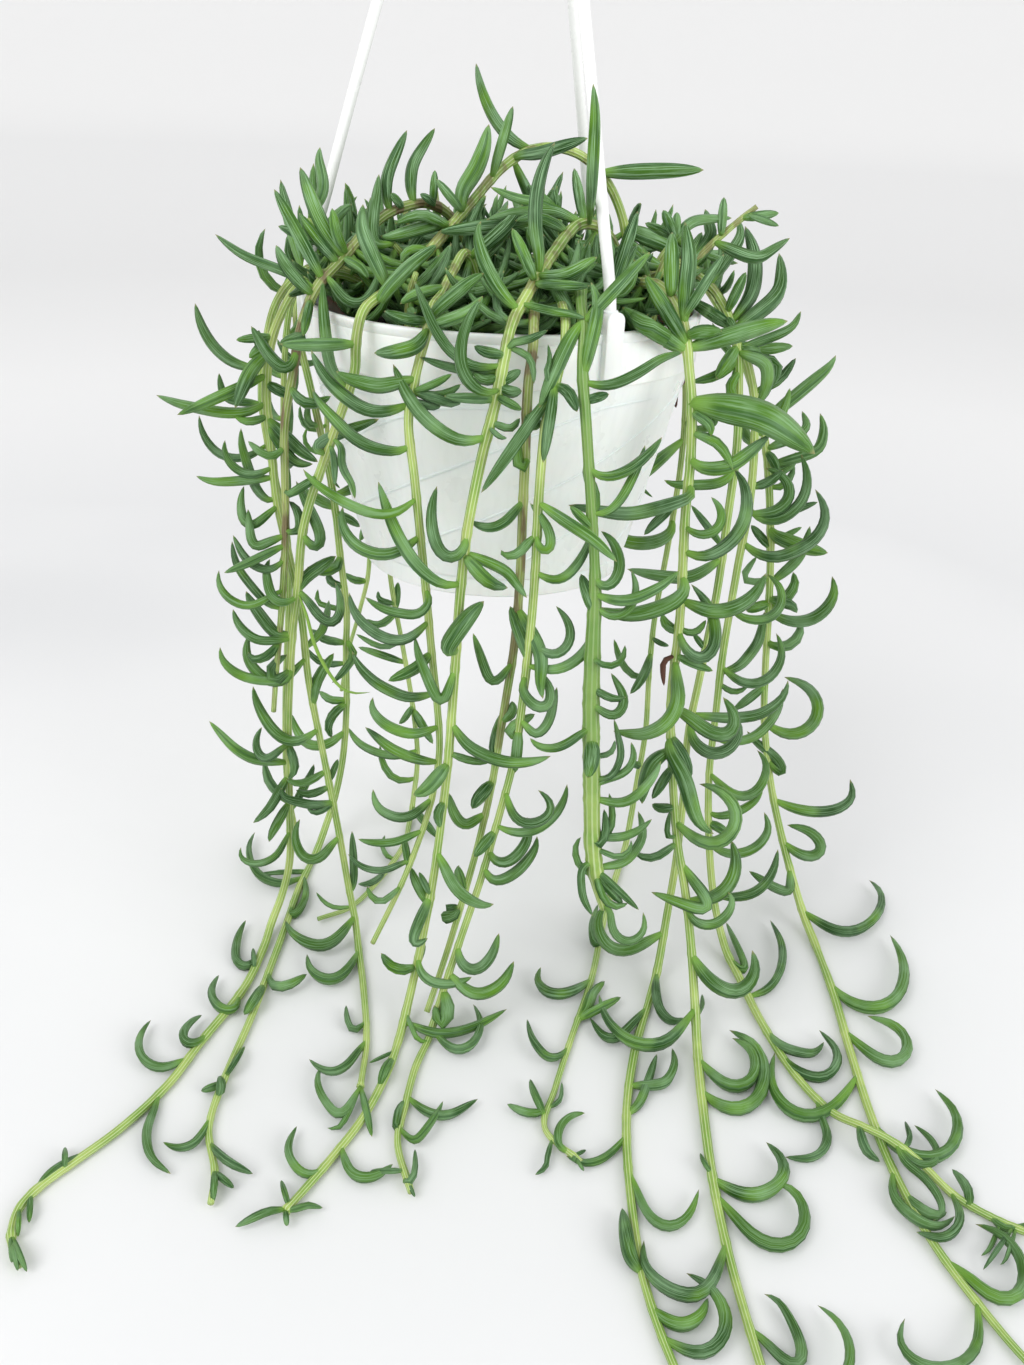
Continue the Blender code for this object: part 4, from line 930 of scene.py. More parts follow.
def smooth_route(points, step):
    """Evenly spaced points on a Catmull-Rom curve through the given ones."""
    given = np.asarray(points, float)
    padded = np.vstack([2 * given[0] - given[1], given, 2 * given[-1] - given[-2]])
    share = np.linspace(0.0, 1.0, CURVE_POINTS, endpoint=False)[:, None]
    dense = []
    for a, b, c, d in zip(padded, padded[1:], padded[2:], padded[3:]):
        line = 2 * b + (c - a) * share + (2 * a - 5 * b + 4 * c - d) * share**2
        dense.append(0.5 * (line + (3 * b - 3 * c + d - a) * share**3))
    dense = np.vstack(dense + [given[-1:]])
    walked = walked_along(dense)
    even = np.linspace(0.0, walked[-1], max(2, round(walked[-1] / step) + 1))
    return read_off(even, walked, dense)


# Routes that the solids and the dressing share


def wall_radius(height):
    """The outside of the pot's tapered wall at this height."""
    share = (-BAND_HEIGHT - height) / (POT_HEIGHT - BAND_HEIGHT)
    return WALL_TOP_RADIUS + (WALL_FOOT_RADIUS - WALL_TOP_RADIUS) * share


def arm_route(azimuth):
    """The centre line of one arm, from its socket in the clip to its socket in the hub."""
    socket = [(CLIP_RADIUS, CLIP_TOP - CLIP_SOCKET_DEPTH + GAP)]
    head = [(HEAD_RADIUS, HUB_BOTTOM + HUB_SOCKET_DEPTH - GAP)]
    whole = socket + ARM_BOW + ARM_HEAD + head
    return smooth_route([around(azimuth, radius, height) for radius, height in whole], ARM_STEP)


def hook_route():
    """The hook's centre line: a shank on the axis, then a round bend over the bearing point."""
    centre = HOOK_HEIGHT - HOOK_INNER_RADIUS
    radius = HOOK_INNER_RADIUS + HOOK_WIRE
    turns = np.radians(np.arange(HOOK_SHANK_BEND, HOOK_END_ANGLE + 1.0, HOOK_BEND_STEP))
    bend = [(radius * math.cos(turn), 0.0, centre + radius * math.sin(turn)) for turn in turns]
    top = HUB_BOTTOM + HUB_THICKNESS
    shank = [(0.0, 0.0, top - SHANK_IN_HUB), (0.0, 0.0, top + SHANK_OVER_HUB)]
    return smooth_route(shank + bend, HOOK_STEP)


def stem_points(stem):
    """Evenly spaced points along a stem, which stands upright in its hole."""
    x, y = stem.route[0]
    foot = SOIL_CROWN - HOLE_DEPTH + GAP
    root = [(x, y, foot), (x, y, (foot + SOIL_CROWN) / 2), (x, y, SOIL_CROWN)]
    return smooth_route(root + stem.route[1:], STEM_STEP)


def stem_radii(stem, count):
    """The stem's radius at each point: it thins towards its tip."""
    share = np.linspace(0.0, 1.0, count)
    return stem.radius * (1.0 - STEM_THINNING * share**STEM_THINNING_POWER)


# How the stems grow: the rule that places the leaves, and what keeps them clear of each other


def segment_gaps(starts, ends, other_starts, other_ends):
    """The distances between each segment of one set and each of the other, as a table."""
    p = starts[:, None, :]
    q = other_starts[None, :, :]
    d1 = (ends - starts)[:, None, :]
    d2 = (other_ends - other_starts)[None, :, :]
    r = p - q
    a = np.sum(d1 * d1, axis=2)
    e = np.sum(d2 * d2, axis=2)
    f = np.sum(d2 * r, axis=2)
    c = np.sum(d1 * r, axis=2)
    b = np.sum(d1 * d2, axis=2)
    spread = a * e - b * b
    s = np.where(spread > 1e-9, np.clip((b * f - c * e) / np.maximum(spread, 1e-9), 0.0, 1.0), 0.0)
    t = np.clip((b * s + f) / e, 0.0, 1.0)
    s = np.clip((b * t - c) / a, 0.0, 1.0)
    t = np.clip((b * s + f) / e, 0.0, 1.0)
    near = (p + d1 * s[..., None]) - (q + d2 * t[..., None])
    return np.linalg.norm(near, axis=2)


class Crowd:
    """Everything that a new leaf must stay clear of, as round-ended segments."""

    def __init__(self):
        self.starts = np.zeros((0, 3))
        self.ends = np.zeros((0, 3))
        self.radii = np.zeros(0)
        self.owners = np.zeros(0, int)

    def add(self, points, radii, owner):
        self.starts = np.vstack([self.starts, points[:-1]])
        self.ends = np.vstack([self.ends, points[1:]])
        self.radii = np.concatenate([self.radii, np.maximum(radii[:-1], radii[1:])])
        self.owners = np.concatenate([self.owners, np.full(len(points) - 1, owner)])

    def room(self, points, radii, owner, base):
        """Whether a leaf fits: clear of other nodes, and past its foot of its own."""
        low = points.min(axis=0) - NEIGHBOUR_REACH
        high = points.max(axis=0) + NEIGHBOUR_REACH
        above = np.maximum(self.starts, self.ends) > low
        below = np.minimum(self.starts, self.ends) < high
        near = np.all(above & below, axis=1)
        if not near.any():
            return True
        thick = np.maximum(radii[:-1], radii[1:])
        gaps = segment_gaps(points[:-1], points[1:], self.starts[near], self.ends[near])
        gaps = gaps - thick[:, None] - self.radii[near][None, :]
        mine = self.owners[near] == owner
        if (gaps[:, ~mine] < GAP).any():
            return False
        from_start = np.linalg.norm(self.starts[near] - base, axis=1)
        from_end = np.linalg.norm(self.ends[near] - base, axis=1)
        apart = mine & (np.minimum(from_start, from_end) > LEAF_FOOT)
        past_foot = (gaps[1:][:, apart] >= OWN_GAP).all()
        return bool(past_foot and (gaps[2:][:, mine] >= OWN_GAP).all())


def clear_of_pot(points, radii):
    """Whether round-ended points stay out of the pot's wall and the soil, and above the floor."""
    reach = np.hypot(points[:, 0], points[:, 1])
    height = points[:, 2]
    margin = radii + POT_MARGIN
    outside = np.where(height > -BAND_HEIGHT - margin, RIM_RADIUS, wall_radius(height) + POT_MARGIN)
    outside = np.maximum(outside, WALL_FOOT_RADIUS + FOOT_PROUD)
    beside = reach > outside + margin
    below = height < -POT_HEIGHT - margin
    above = height > margin
    over_soil = (height > SOIL_CROWN + margin) & (reach < RIM_INNER_RADIUS - POT_WALL - margin)
    free = beside | below | over_soil | above
    return bool((free & (height - radii > FLOOR + FLOOR_MARGIN)).all())


def leaf_shape(length, scale=1.0):
    """The width of a leaf at each of its stations."""
    return np.array([share * LEAF_THICKNESS * length for _, share in LEAF_PROFILE]) * scale


def leaf_line(base, outwards, bend, length, start, turn, stations):
    """A leaf's centre line: it leaves along outwards and curls towards bend."""
    fine = np.linspace(0.0, 1.0, LEAF_LINE_STEPS + 1)
    angles = start + turn * fine
    steps = np.outer(np.cos(angles), outwards) + np.outer(np.sin(angles), bend)
    middles = 0.5 * (steps[1:] + steps[:-1]) * (length / LEAF_LINE_STEPS)
    line = np.vstack([[0.0, 0.0, 0.0], np.cumsum(middles, axis=0)]) + base
    return read_off(stations, fine, line)


def free_side(point, tangent):
    """The open side of a stem: up where it lies, away from the pot where it hangs."""
    away = np.array([point[0], point[1], 0.0])
    away = unit(away) if np.linalg.norm(away) > 1.0 else np.array([0.0, -1.0, 0.0])
    upright = abs(tangent[2])
    side = np.array([0.0, 0.0, 1.0]) * (1.0 - upright) + away * upright
    return unit(side - tangent * np.dot(side, tangent))


def rises(stem, height):
    """Whether leaves point up here: over the pot, and on every arch above its rim."""
    return stem.mound or height > ARCH_HEIGHT


def leaf_habit(stem, height, left, hand, draw):
    """How a leaf sits: its length, start and turn, and its angle round the stem from the free side."""
    habit = HANGING
    if height < LYING_HEIGHT:
        habit = LYING
    if rises(stem, height):
        habit = RISING
    if left < TUFT_LENGTH:
        habit = TUFT
    length = (MOUND_LEAF if habit is RISING else stem.leaf) * draw.uniform(*habit["size"])
    length *= min(1.0, TIP_LEAF_SIZE + (1.0 - TIP_LEAF_SIZE) * left / TAPER_RUN)
    start = math.radians(draw.uniform(*habit["start"]))
    turn = math.radians(draw.uniform(*habit["turn"]))
    return length, start, turn, hand * draw.uniform(*habit["angle"])


def leaf_step(stem, height, left, draw):
    """How far along the stem the next leaf stands."""
    if left < TUFT_LENGTH + TUFT_PITCH:
        return TUFT_PITCH
    pitch = LEAF_PITCH
    if height < LYING_HEIGHT:
        pitch = LYING_PITCH
    if rises(stem, height):
        pitch = MOUND_PITCH
    return min(pitch * draw.uniform(*PITCH_SPREAD), left - TUFT_LENGTH)


def upward(outwards, tangent):
    """Towards the sky, square to the leaf's first direction."""
    rise = np.array([0.0, 0.0, 1.0]) - outwards * outwards[2]
    return unit(rise) if np.linalg.norm(rise) > STEEP_LEAF else -tangent


class Walk:
    """The way along a stem, and what is found at each distance."""

    def __init__(self, stem):
        self.line = stem_points(stem)
        self.tangents = route_tangents(self.line)
        self.walked = walked_along(self.line)
        self.length = self.walked[-1]

    def spot(self, along):
        """The stem's middle, its direction, its open side and the way across both."""
        point = read_off(along, self.walked, self.line)
        tangent = unit(read_off(along, self.walked, self.tangents))
        free = free_side(point, tangent)
        return point, tangent, free, np.cross(tangent, free)


def fitted(stem, owner, crowd, spot, habit, hand, scale):
    """The leaf at the first angle round the stem where it has room, or nothing."""
    point, tangent, free, cross = spot
    length, start, turn, angle = habit
    rings = leaf_shape(length, scale)
    for change in ANGLE_TRIES:
        spin = math.radians(angle + change * hand)
        outwards = math.cos(spin) * free + math.sin(spin) * cross
        bend = upward(outwards, tangent) if rises(stem, point[2]) else -tangent
        grown = (point, outwards, bend, length, start, turn)
        if not clear_of_pot(leaf_line(*grown, CHECKS)[1:], np.interp(CHECKS, STATIONS, rings)[1:]):
            continue
        spine = leaf_line(*grown, STATIONS)
        if crowd.room(spine, rings, owner, point):
            crowd.add(spine, rings, owner)
            return grown
    return None


def grow(stem, owner, crowd):
    """Set the leaves of one stem by the rule, each where there is room for it."""
    draw = random.Random(FIRST_SEED + owner)
    walk = Walk(stem)
    along = FIRST_LEAF + FIRST_LEAF_SPREAD * draw.random()
    hand = draw.choice((-1.0, 1.0))
    while along < walk.length - TIP_MARGIN:
        spot = walk.spot(along)
        height, left = spot[0][2], walk.length - along
        habit = leaf_habit(stem, height, left, hand, draw)
        grown = fitted(stem, owner, crowd, spot, habit, hand, LEAF_RING_SCALE)
        if grown:
            stem.leaves.append(grown)
        along += leaf_step(stem, height, left, draw)
        hand = -hand if draw.random() < SWAP_HANDS else hand


def grow_all():
    """Grow every stem's leaves in turn, round the stems, the arms and the clips."""
    crowd = Crowd()
    for owner, stem in enumerate(STEMS):
        line = stem_points(stem)
        crowd.add(line, stem_radii(stem, len(line)) + STEM_CHORD, owner)
    for azimuth in CLIP_AZIMUTHS.values():
        route = arm_route(azimuth)
        crowd.add(route, np.full(len(route), ARM_RADIUS), HANGER)
        foot = around(azimuth, CLIP_RADIUS, CLIP_BOTTOM)
        head = around(azimuth, CLIP_RADIUS, CLIP_TOP - CLIP_REACH + CLIP_HEADROOM)
        crowd.add(np.array([foot, head]), np.full(2, CLIP_REACH), HANGER)
    for owner, stem in enumerate(STEMS):
        grow(stem, owner, crowd)


# The camera's view


def view_axes():
    """The camera's right, up and forward directions, before its roll."""
    right = np.array([1.0, 0.0, 0.0])
    up = np.array([0.0, math.sin(CAMERA_PITCH), math.cos(CAMERA_PITCH)])
    forward = np.array([0.0, math.cos(CAMERA_PITCH), -math.sin(CAMERA_PITCH)])
    return right, up, forward


def seen(points):
    """Where points in millimetres from the rim show in the photograph, and how deep they are."""
    right, up, forward = view_axes()
    away = np.asarray(points, float) - CAMERA_PLACE
    depth = away @ forward
    across = FOCAL_PIXELS * (away @ right) / depth
    down = -FOCAL_PIXELS * (away @ up) / depth
    c, s = math.cos(CAMERA_ROLL), math.sin(CAMERA_ROLL)
    x = PHOTO_WIDTH / 2 + c * across - s * down
    y = PHOTO_HEIGHT / 2 + s * across + c * down
    return np.stack([x, y], axis=-1), depth


def sight(pixels):
    """The directions through pixels of the photograph, one millimetre deep each."""
    right, up, forward = view_axes()
    a = pixels[:, 0] - PHOTO_WIDTH / 2
    b = pixels[:, 1] - PHOTO_HEIGHT / 2
    c, s = math.cos(CAMERA_ROLL), math.sin(CAMERA_ROLL)
    across = (c * a + s * b) / FOCAL_PIXELS
    down = (-s * a + c * b) / FOCAL_PIXELS
    return forward + across[:, None] * right - down[:, None] * up


def make_camera():
    """The camera that took the photograph."""
    right, up, forward = view_axes()
    turn = Matrix((Vector(right), Vector(up), -Vector(forward))).transposed().to_4x4()
    place = Matrix.Translation(Vector(world(CAMERA_PLACE)))
    data = bpy.data.cameras.new("camera")
    data.sensor_width = SENSOR_MM
    data.lens = SENSOR_MM * FOCAL_PIXELS / PHOTO_HEIGHT
    data.clip_start = MM
    camera = added("camera", data)
    camera.matrix_world = place @ turn @ Matrix.Rotation(CAMERA_ROLL, 4, "Z")
    bpy.context.scene.camera = camera


# Modelling

WIRE_FINENESS = 6
SMOOTH_ANGLE = 35.0
EASE_POINTS = 4


def put_down():
    """Deselect everything."""
    if bpy.context.object and bpy.context.object.mode == "EDIT":
        bpy.ops.object.mode_set(mode="OBJECT")
    bpy.ops.object.select_all(action="DESELECT")


def pick_up(pieces):
    """Select these pieces alone, the first of them active."""
    put_down()
    for piece in pieces:
        piece.select_set(True)
    bpy.context.view_layer.objects.active = pieces[0]


def added(name, data):
    """A new object in the scene."""
    made = bpy.data.objects.new(name, data)
    bpy.context.collection.objects.link(made)
    return made


def named(name, look):
    """The object that was just added, under this name and with this material."""
    made = bpy.context.object
    made.name = name
    made.data.name = name
    made.data.materials.clear()
    made.data.materials.append(look)
    return made


def settle(piece, smooth_angle=SMOOTH_ANGLE):
    """Bring a finished piece's place into its mesh and shade it smooth."""
    pick_up([piece])
    bpy.ops.object.transform_apply(location=True, rotation=True, scale=True)
    bpy.ops.object.shade_smooth_by_angle(angle=math.radians(smooth_angle))
    return piece


def one_piece(pieces):
    pick_up(pieces)
    bpy.ops.object.join()
    return bpy.context.object


def edit_all():
    """Edit the active piece with everything in it selected."""
    bpy.ops.object.mode_set(mode="EDIT")
    bpy.ops.mesh.select_all(action="SELECT")


def face_outwards():
    """Turn every face of the edited piece outwards, and leave it."""
    bpy.ops.mesh.select_all(action="SELECT")
    bpy.ops.mesh.normals_make_consistent(inside=False)
    bpy.ops.object.mode_set(mode="OBJECT")


def draw_out(rise, change, height):
    """Draw what is selected upwards, in metres, and change its width about the axis at this height."""
    bpy.ops.mesh.extrude_region_move(TRANSFORM_OT_translate={"value": (0.0, 0.0, rise)})
    bpy.ops.transform.resize(value=(change, change, 1.0), center_override=(0.0, 0.0, height))


def drawn_up(name, outline, sides, look):
    """A turned piece: a disc under the first ring of the outline, drawn out ring by ring."""
    put_down()
    radius, height = outline[0]
    bpy.ops.mesh.primitive_circle_add(vertices=sides, radius=radius * MM, fill_type="NGON",
                                      location=world((0.0, 0.0, height)))
    made = named(name, look)
    edit_all()
    for new_radius, new_height in outline[1:]:
        draw_out((new_height - height) * MM, new_radius / radius, level(new_height))
        radius, height = new_radius, new_height
    face_outwards()
    return made


def eased(outline, ease):
    """The outline with each corner that has an ease rounded by a short curve."""
    points = []
    for i, here in enumerate(outline):
        reach = ease.get(i, 0.0)
        if not reach:
            points.append(here)
            continue
        middle = np.array(here, float)
        before = unit(np.array(outline[i - 1], float) - middle) * reach + middle
        after = unit(np.array(outline[i + 1], float) - middle) * reach + middle
        for share in np.linspace(0.0, 1.0, EASE_POINTS):
            blend = (1 - share) ** 2 * before + 2 * share * (1 - share) * middle + share**2 * after
            points.append(tuple(blend))
    return points


def wire(name, route, radius, look):
    """A smooth round rod along a route, closed at its ends."""
    put_down()
    data = bpy.data.curves.new(name, "CURVE")
    data.dimensions = "3D"
    data.bevel_depth = radius * MM
    data.bevel_resolution = WIRE_FINENESS
    data.use_fill_caps = True
    spline = data.splines.new("POLY")
    spline.points.add(len(route) - 1)
    for point, place in zip(spline.points, route):
        point.co = (*world(place), 1.0)
    pick_up([added(name, data)])
    bpy.ops.object.convert(target="MESH")
    return named(name, look)


# Pot

VISUAL_SIDES = 144
UNDERSIDE_RISE = 0.8
FOOT_RINGS = (3.0, 2.0)
WALL_RING = -60.0
LIP_DROP = 3.4
# a shallow groove under the lip: how far out and how far up from its middle
LIP_GROOVE = [(-0.25, -0.5), (-0.5, 0.0), (-0.2, 0.5)]
LIP_FOOT = -1.4
RIM_LEDGE = -2.5
FLOOR_RING = 2.0
# how far each corner of the outline is rounded
POT_EASES = {2: 0.9, 3: 0.4, 4: 0.5, 7: 0.6, 12: 0.9, 13: 0.9, 16: 1.2}

# Ribs: degrees round the pot and heights, and the section as shares of width and height
RIB_COUNT = 8
RIB_FIRST = -29.0
RIB_ROUTE = [(-60, -91.5), (-52, -87), (-43, -81), (-32, -74), (-22, -69), (-10, -62.6), (0, -57),
             (15, -48.7), (31, -39.5), (40, -34.6), (47, -31), (54, -28), (60, -26), (67, -25.2),
             (74, -25.0), (84, -25.6)]
RIB_WIDTH = 0.7
RIB_PROUD = 0.42
RIB_STEP = 1.5
RIB_FADE = 6.0
RIB_SECTION = [(-1.0, -0.35), (-0.5, 0.75), (0.0, 1.0), (0.5, 0.75), (1.0, -0.35), (0.0, -1.6)]

# The clips' rounded edges, and the collar round the arm
SHOULDER_ROUND = 2.9
SHOULDER_SEGMENTS = 7
EDGE_ROUND = 0.45
EDGE_SEGMENTS = 3
SHARP_ANGLE = 50.0
COLLAR_SUNK = 0.6
COLLAR_RISE = 0.35
COLLAR_GAP = 0.25
COLLAR_ROUND = 0.5
COLLAR_SIDES = 32
COLLAR_ROUND_SIDES = 8
TOUCHING = 1e-5


def pot_outline():
    """The pot's section, from under its foot over the rim to its inner floor."""
    foot = WALL_FOOT_RADIUS + FOOT_PROUD
    step = -POT_HEIGHT + FOOT_HEIGHT
    inner_floor = -POT_HEIGHT + POT_FLOOR
    inner_foot = wall_radius(inner_floor) - POT_WALL
    lip = RIM_RADIUS - BAND_TAPER * LIP_DROP / BAND_HEIGHT
    outline = [
        (foot - FOOT_ROUND - FOOT_RINGS[0], -POT_HEIGHT + UNDERSIDE_RISE),
        (foot - FOOT_ROUND - FOOT_RINGS[1], -POT_HEIGHT),
        (foot, -POT_HEIGHT),
        (foot, step),
        (wall_radius(step + FOOT_ROUND), step + FOOT_ROUND),
        (wall_radius(WALL_RING), WALL_RING),
        (WALL_TOP_RADIUS, -BAND_HEIGHT - BAND_UNDERCUT),
        (RIM_RADIUS - BAND_TAPER, -BAND_HEIGHT),
        *[(lip + out, -LIP_DROP + up) for out, up in LIP_GROOVE],
        (RIM_RADIUS, LIP_FOOT),
        (RIM_RADIUS, 0.0),
        (RIM_INNER_RADIUS, 0.0),
        (RIM_INNER_RADIUS, RIM_LEDGE),
        (WALL_TOP_RADIUS - POT_WALL, -BAND_HEIGHT),
        (inner_foot, inner_floor),
        (inner_foot - FLOOR_RING, inner_floor),
    ]
    return eased(outline, POT_EASES)


def make_rib(azimuth, look):
    """One raised line that swirls up the pot's wall."""
    route = smooth_route([(turn, height, 0.0) for turn, height in RIB_ROUTE], RIB_STEP)
    points = []
    last = len(route) - 1
    for i, (turn, height, _) in enumerate(route):
        fade = math.sin(math.pi * min(1.0, RIB_FADE * min(i, last - i) / last) / 2.0)
        ahead = route[min(i + 1, last)] - route[max(i - 1, 0)]
        run = np.array([math.radians(ahead[0]) * wall_radius(height), ahead[1]])
        across = unit(np.array([-run[1], run[0]]))
        for side, proud in RIB_SECTION:
            rise = height + side * across[1] * RIB_WIDTH
            swing = azimuth + turn + math.degrees(side * across[0] * RIB_WIDTH / wall_radius(height))
            points.append(world(around(swing, wall_radius(rise) + RIB_PROUD * proud * fade, rise)))
    walls, ends = tube_faces(len(points), len(RIB_SECTION))
    mesh = bpy.data.meshes.new("rib")
    mesh.from_pydata(points, [], walls + ends)
    mesh.materials.append(look)
    rib = added("rib", mesh)
    pick_up([rib])
    edit_all()
    face_outwards()
    return rib


def bevel(piece, name, width, segments, **limits):
    """A rounding of a piece's edges, still to be applied."""
    rounding = piece.modifiers.new(name, "BEVEL")
    rounding.width = width * MM
    rounding.segments = segments
    for key, value in limits.items():
        setattr(rounding, key, value)


def make_clip(azimuth, look):
    """A clip: a block across the rim with round shoulders, and a collar round the arm's foot."""
    put_down()
    middle = (CLIP_TOP + CLIP_BOTTOM) / 2
    bpy.ops.mesh.primitive_cube_add(size=1.0, location=world((0.0, -CLIP_RADIUS, middle)))
    block = named("clip", look)
    block.scale = (CLIP_WIDTH * MM, CLIP_DEPTH * MM, (CLIP_TOP - CLIP_BOTTOM) * MM)
    bpy.ops.object.transform_apply(location=True, rotation=True, scale=True)
    weight = block.data.attributes.new("bevel_weight_edge", "FLOAT", "EDGE")
    top = level(CLIP_TOP)
    for edge in block.data.edges:
        ends = [block.data.vertices[i].co for i in edge.vertices]
        shoulder = all(abs(end.z - top) < TOUCHING for end in ends) and abs(ends[0].x - ends[1].x) < TOUCHING
        weight.data[edge.index].value = 1.0 if shoulder else 0.0
    bevel(block, "shoulders", SHOULDER_ROUND, SHOULDER_SEGMENTS, limit_method="WEIGHT")
    bevel(block, "edges", EDGE_ROUND, EDGE_SEGMENTS, limit_method="ANGLE",
          angle_limit=math.radians(SHARP_ANGLE))
    for modifier in ("shoulders", "edges"):
        bpy.ops.object.modifier_apply(modifier=modifier)
    collar_height = CLIP_TOP - COLLAR_SUNK + COLLAR_RISE
    bpy.ops.mesh.primitive_torus_add(location=world((0.0, -CLIP_RADIUS, collar_height)),
                                     major_radius=(ARM_RADIUS + COLLAR_GAP) * MM,
                                     minor_radius=COLLAR_ROUND * MM,
                                     major_segments=COLLAR_SIDES, minor_segments=COLLAR_ROUND_SIDES)
    whole = one_piece([block, named("collar", look)])
    whole.data.transform(Matrix.Rotation(math.radians(azimuth), 4, "Z"))
    return whole


def make_pot(look):
    parts = [drawn_up("hanging_pot", pot_outline(), VISUAL_SIDES, look)]
    parts += [make_rib(RIB_FIRST + 360.0 * i / RIB_COUNT, look) for i in range(RIB_COUNT)]
    parts += [make_clip(azimuth, look) for azimuth in CLIP_AZIMUTHS.values()]
    pot = settle(one_piece(parts))
    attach(pot, "root")
    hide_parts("pot")


# Hanger

ARM_CURVE_STEP = 2.5
HOOK_CURVE_STEP = 1.5
HUB_UNDERSIDE = 2.0
HUB_EASES = {1: 1.0, 2: 1.6, 3: 1.2}
HUB_SIDES = 48
# how much thinner the round wire is than the solid's, so that it stays inside the solid's height
WIRE_THINNER = 0.06


def make_hanger(look):
    for side, azimuth in CLIP_AZIMUTHS.items():
        route = smooth_route(arm_route(azimuth), ARM_CURVE_STEP)
        arm = settle(wire("arm_" + side, route, ARM_RADIUS, look))
        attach(arm, "root")
        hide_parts("hanger_arm_" + side)
    top = HUB_BOTTOM + HUB_THICKNESS
    outline = [(HUB_RADIUS - HUB_UNDERSIDE, HUB_BOTTOM), (HUB_RADIUS, HUB_BOTTOM),
               (HUB_RADIUS, HUB_BOTTOM + HUB_SIDE)]
    outline += [(radius, top - drop) for radius, drop in HUB_CROWN]
    hub = drawn_up("hook_hub", eased(outline, HUB_EASES), HUB_SIDES, look)
    bend = wire("bend", smooth_route(hook_route(), HOOK_CURVE_STEP), HOOK_WIRE - WIRE_THINNER, look)
    hook = settle(one_piece([hub, bend]))
    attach(hook, "root")
    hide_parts("hanger_hook")


# Soil

SOIL_RINGS = 22
SOIL_SIDES = 96
SOIL_LOWERED = 0.8
SOIL_MIDDLE = 1.5
SOIL_SMOOTH_ANGLE = 60.0
# lumps and finer grit: their fineness, the grit's share, their height and how much of it lies below
LUMPS_FROM = SOIL_EDGE - 1.2
LUMP_FINENESS = 160.0
GRIT_FINENESS = 420.0
GRIT_SHARE = 0.6
LUMP_HEIGHT = 0.8
LUMP_BELOW = 0.3
CRUMB_COUNT = 420
CRUMB_SEED = 7
CRUMB_INSET = 2.5
CRUMB_SIZES = (0.35, 1.1)
CRUMB_LIFT = 0.1
CRUMB_TURNS = (0.0, 6.0)
CRUMB_WIDTHS = (0.5, 1.0)
CRUMB_FLATNESS = 0.7
SOIL_RIM = CLIP_RADIUS - CLIP_DEPTH / 2 - GAP - SOIL_INSET


def soil_height(radius):
    """The soil's surface, which climbs from its edge to a level crown."""
    climb = min(1.0, (SOIL_RIM - radius) / (SOIL_RIM - SOIL_CROWN_RADIUS))
    return SOIL_EDGE - SOIL_LOWERED + (SOIL_CROWN - SOIL_EDGE) * climb


def make_crumbs(look):
    """Crumbs of soil strewn over its surface."""
    draw = random.Random(CRUMB_SEED)
    put_down()
    bpy.ops.mesh.primitive_ico_sphere_add(subdivisions=1, radius=1.0)
    crumb = named("crumb", look)
    crumbs = []
    for _ in range(CRUMB_COUNT):
        radius = (SOIL_RIM - CRUMB_INSET) * math.sqrt(draw.random())
        azimuth = draw.uniform(0.0, 360.0)
        size = draw.uniform(*CRUMB_SIZES)
        place = world(around(azimuth, radius, soil_height(radius) + CRUMB_LIFT * size))
        tilt = Matrix.Rotation(draw.uniform(*CRUMB_TURNS), 4, "X")
        spin = Matrix.Rotation(draw.uniform(*CRUMB_TURNS), 4, "Z")
        width = size * MM
        stretch = Matrix.Diagonal((width, width * draw.uniform(*CRUMB_WIDTHS), width * CRUMB_FLATNESS, 1.0))
        piece = added("crumb", crumb.data.copy())
        piece.data.transform(Matrix.Translation(place) @ tilt @ spin @ stretch)
        crumbs.append(piece)
    bpy.data.objects.remove(crumb, do_unlink=True)
    return crumbs


def make_soil(look):
    bottom = -POT_HEIGHT + POT_FLOOR + GAP
    clear = POT_WALL + GAP
    outline = [(wall_radius(bottom) - clear - SOIL_INSET, bottom),
               (wall_radius(-BAND_HEIGHT) - clear - SOIL_INSET, -BAND_HEIGHT),
               (SOIL_RIM, -BAND_HEIGHT + SOIL_INSET), (SOIL_RIM, SOIL_EDGE - SOIL_LOWERED)]
    for share in np.linspace(0.0, 1.0, SOIL_RINGS)[1:]:
        radius = SOIL_RIM * (1.0 - share) + SOIL_MIDDLE * share
        outline.append((radius, soil_height(radius)))
    soil = drawn_up("soil_filling", outline, SOIL_SIDES, look)
    for vertex in soil.data.vertices:
        if vertex.co.z > level(LUMPS_FROM):
            grit = noise.noise(vertex.co * GRIT_FINENESS)
            lumps = noise.noise(vertex.co * LUMP_FINENESS) + GRIT_SHARE * grit
            vertex.co.z += LUMP_HEIGHT * MM * (lumps - LUMP_BELOW)
    soil = settle(one_piece([soil] + make_crumbs(look)), SOIL_SMOOTH_ANGLE)
    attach(soil, "root")
    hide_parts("soil")


# Leaves

# Every use of random draws has its own seeds
SEEDS = {"drawn": 3, "rule": 5, "more": 7, "thicket": 11}
BACK_LIMIT = 99.0
OPEN_HEIGHT = 1.0
OPEN_STEP = 1.0

# More leaves of the rule, on stems out of sight
VISUAL_PITCH = 11.0
VISUAL_SPREAD = (0.8, 1.2)
VISUAL_APART = 0.55
FILL_CLEARANCE = 0.82

# The mound's many leaves: where they stand, their size, and how they turn, in radians
THICKET_PITCH = 2.6
THICKET_SPREAD = (0.7, 1.3)
THICKET_TOP = 26.0
THICKET_LOW = SOIL_CROWN + 4.0
THICKET_TRIES = 8
THICKET_SIZES = (0.55, 0.85)
THICKET_SWING = 0.6
THICKET_START = (-0.7, 0.3)
THICKET_TURN = (0.5, 1.9)
RIM_CLEARANCE = 4.0
RIM_OVERHEAD = 3.0
SOIL_CLEARANCE = 1.0

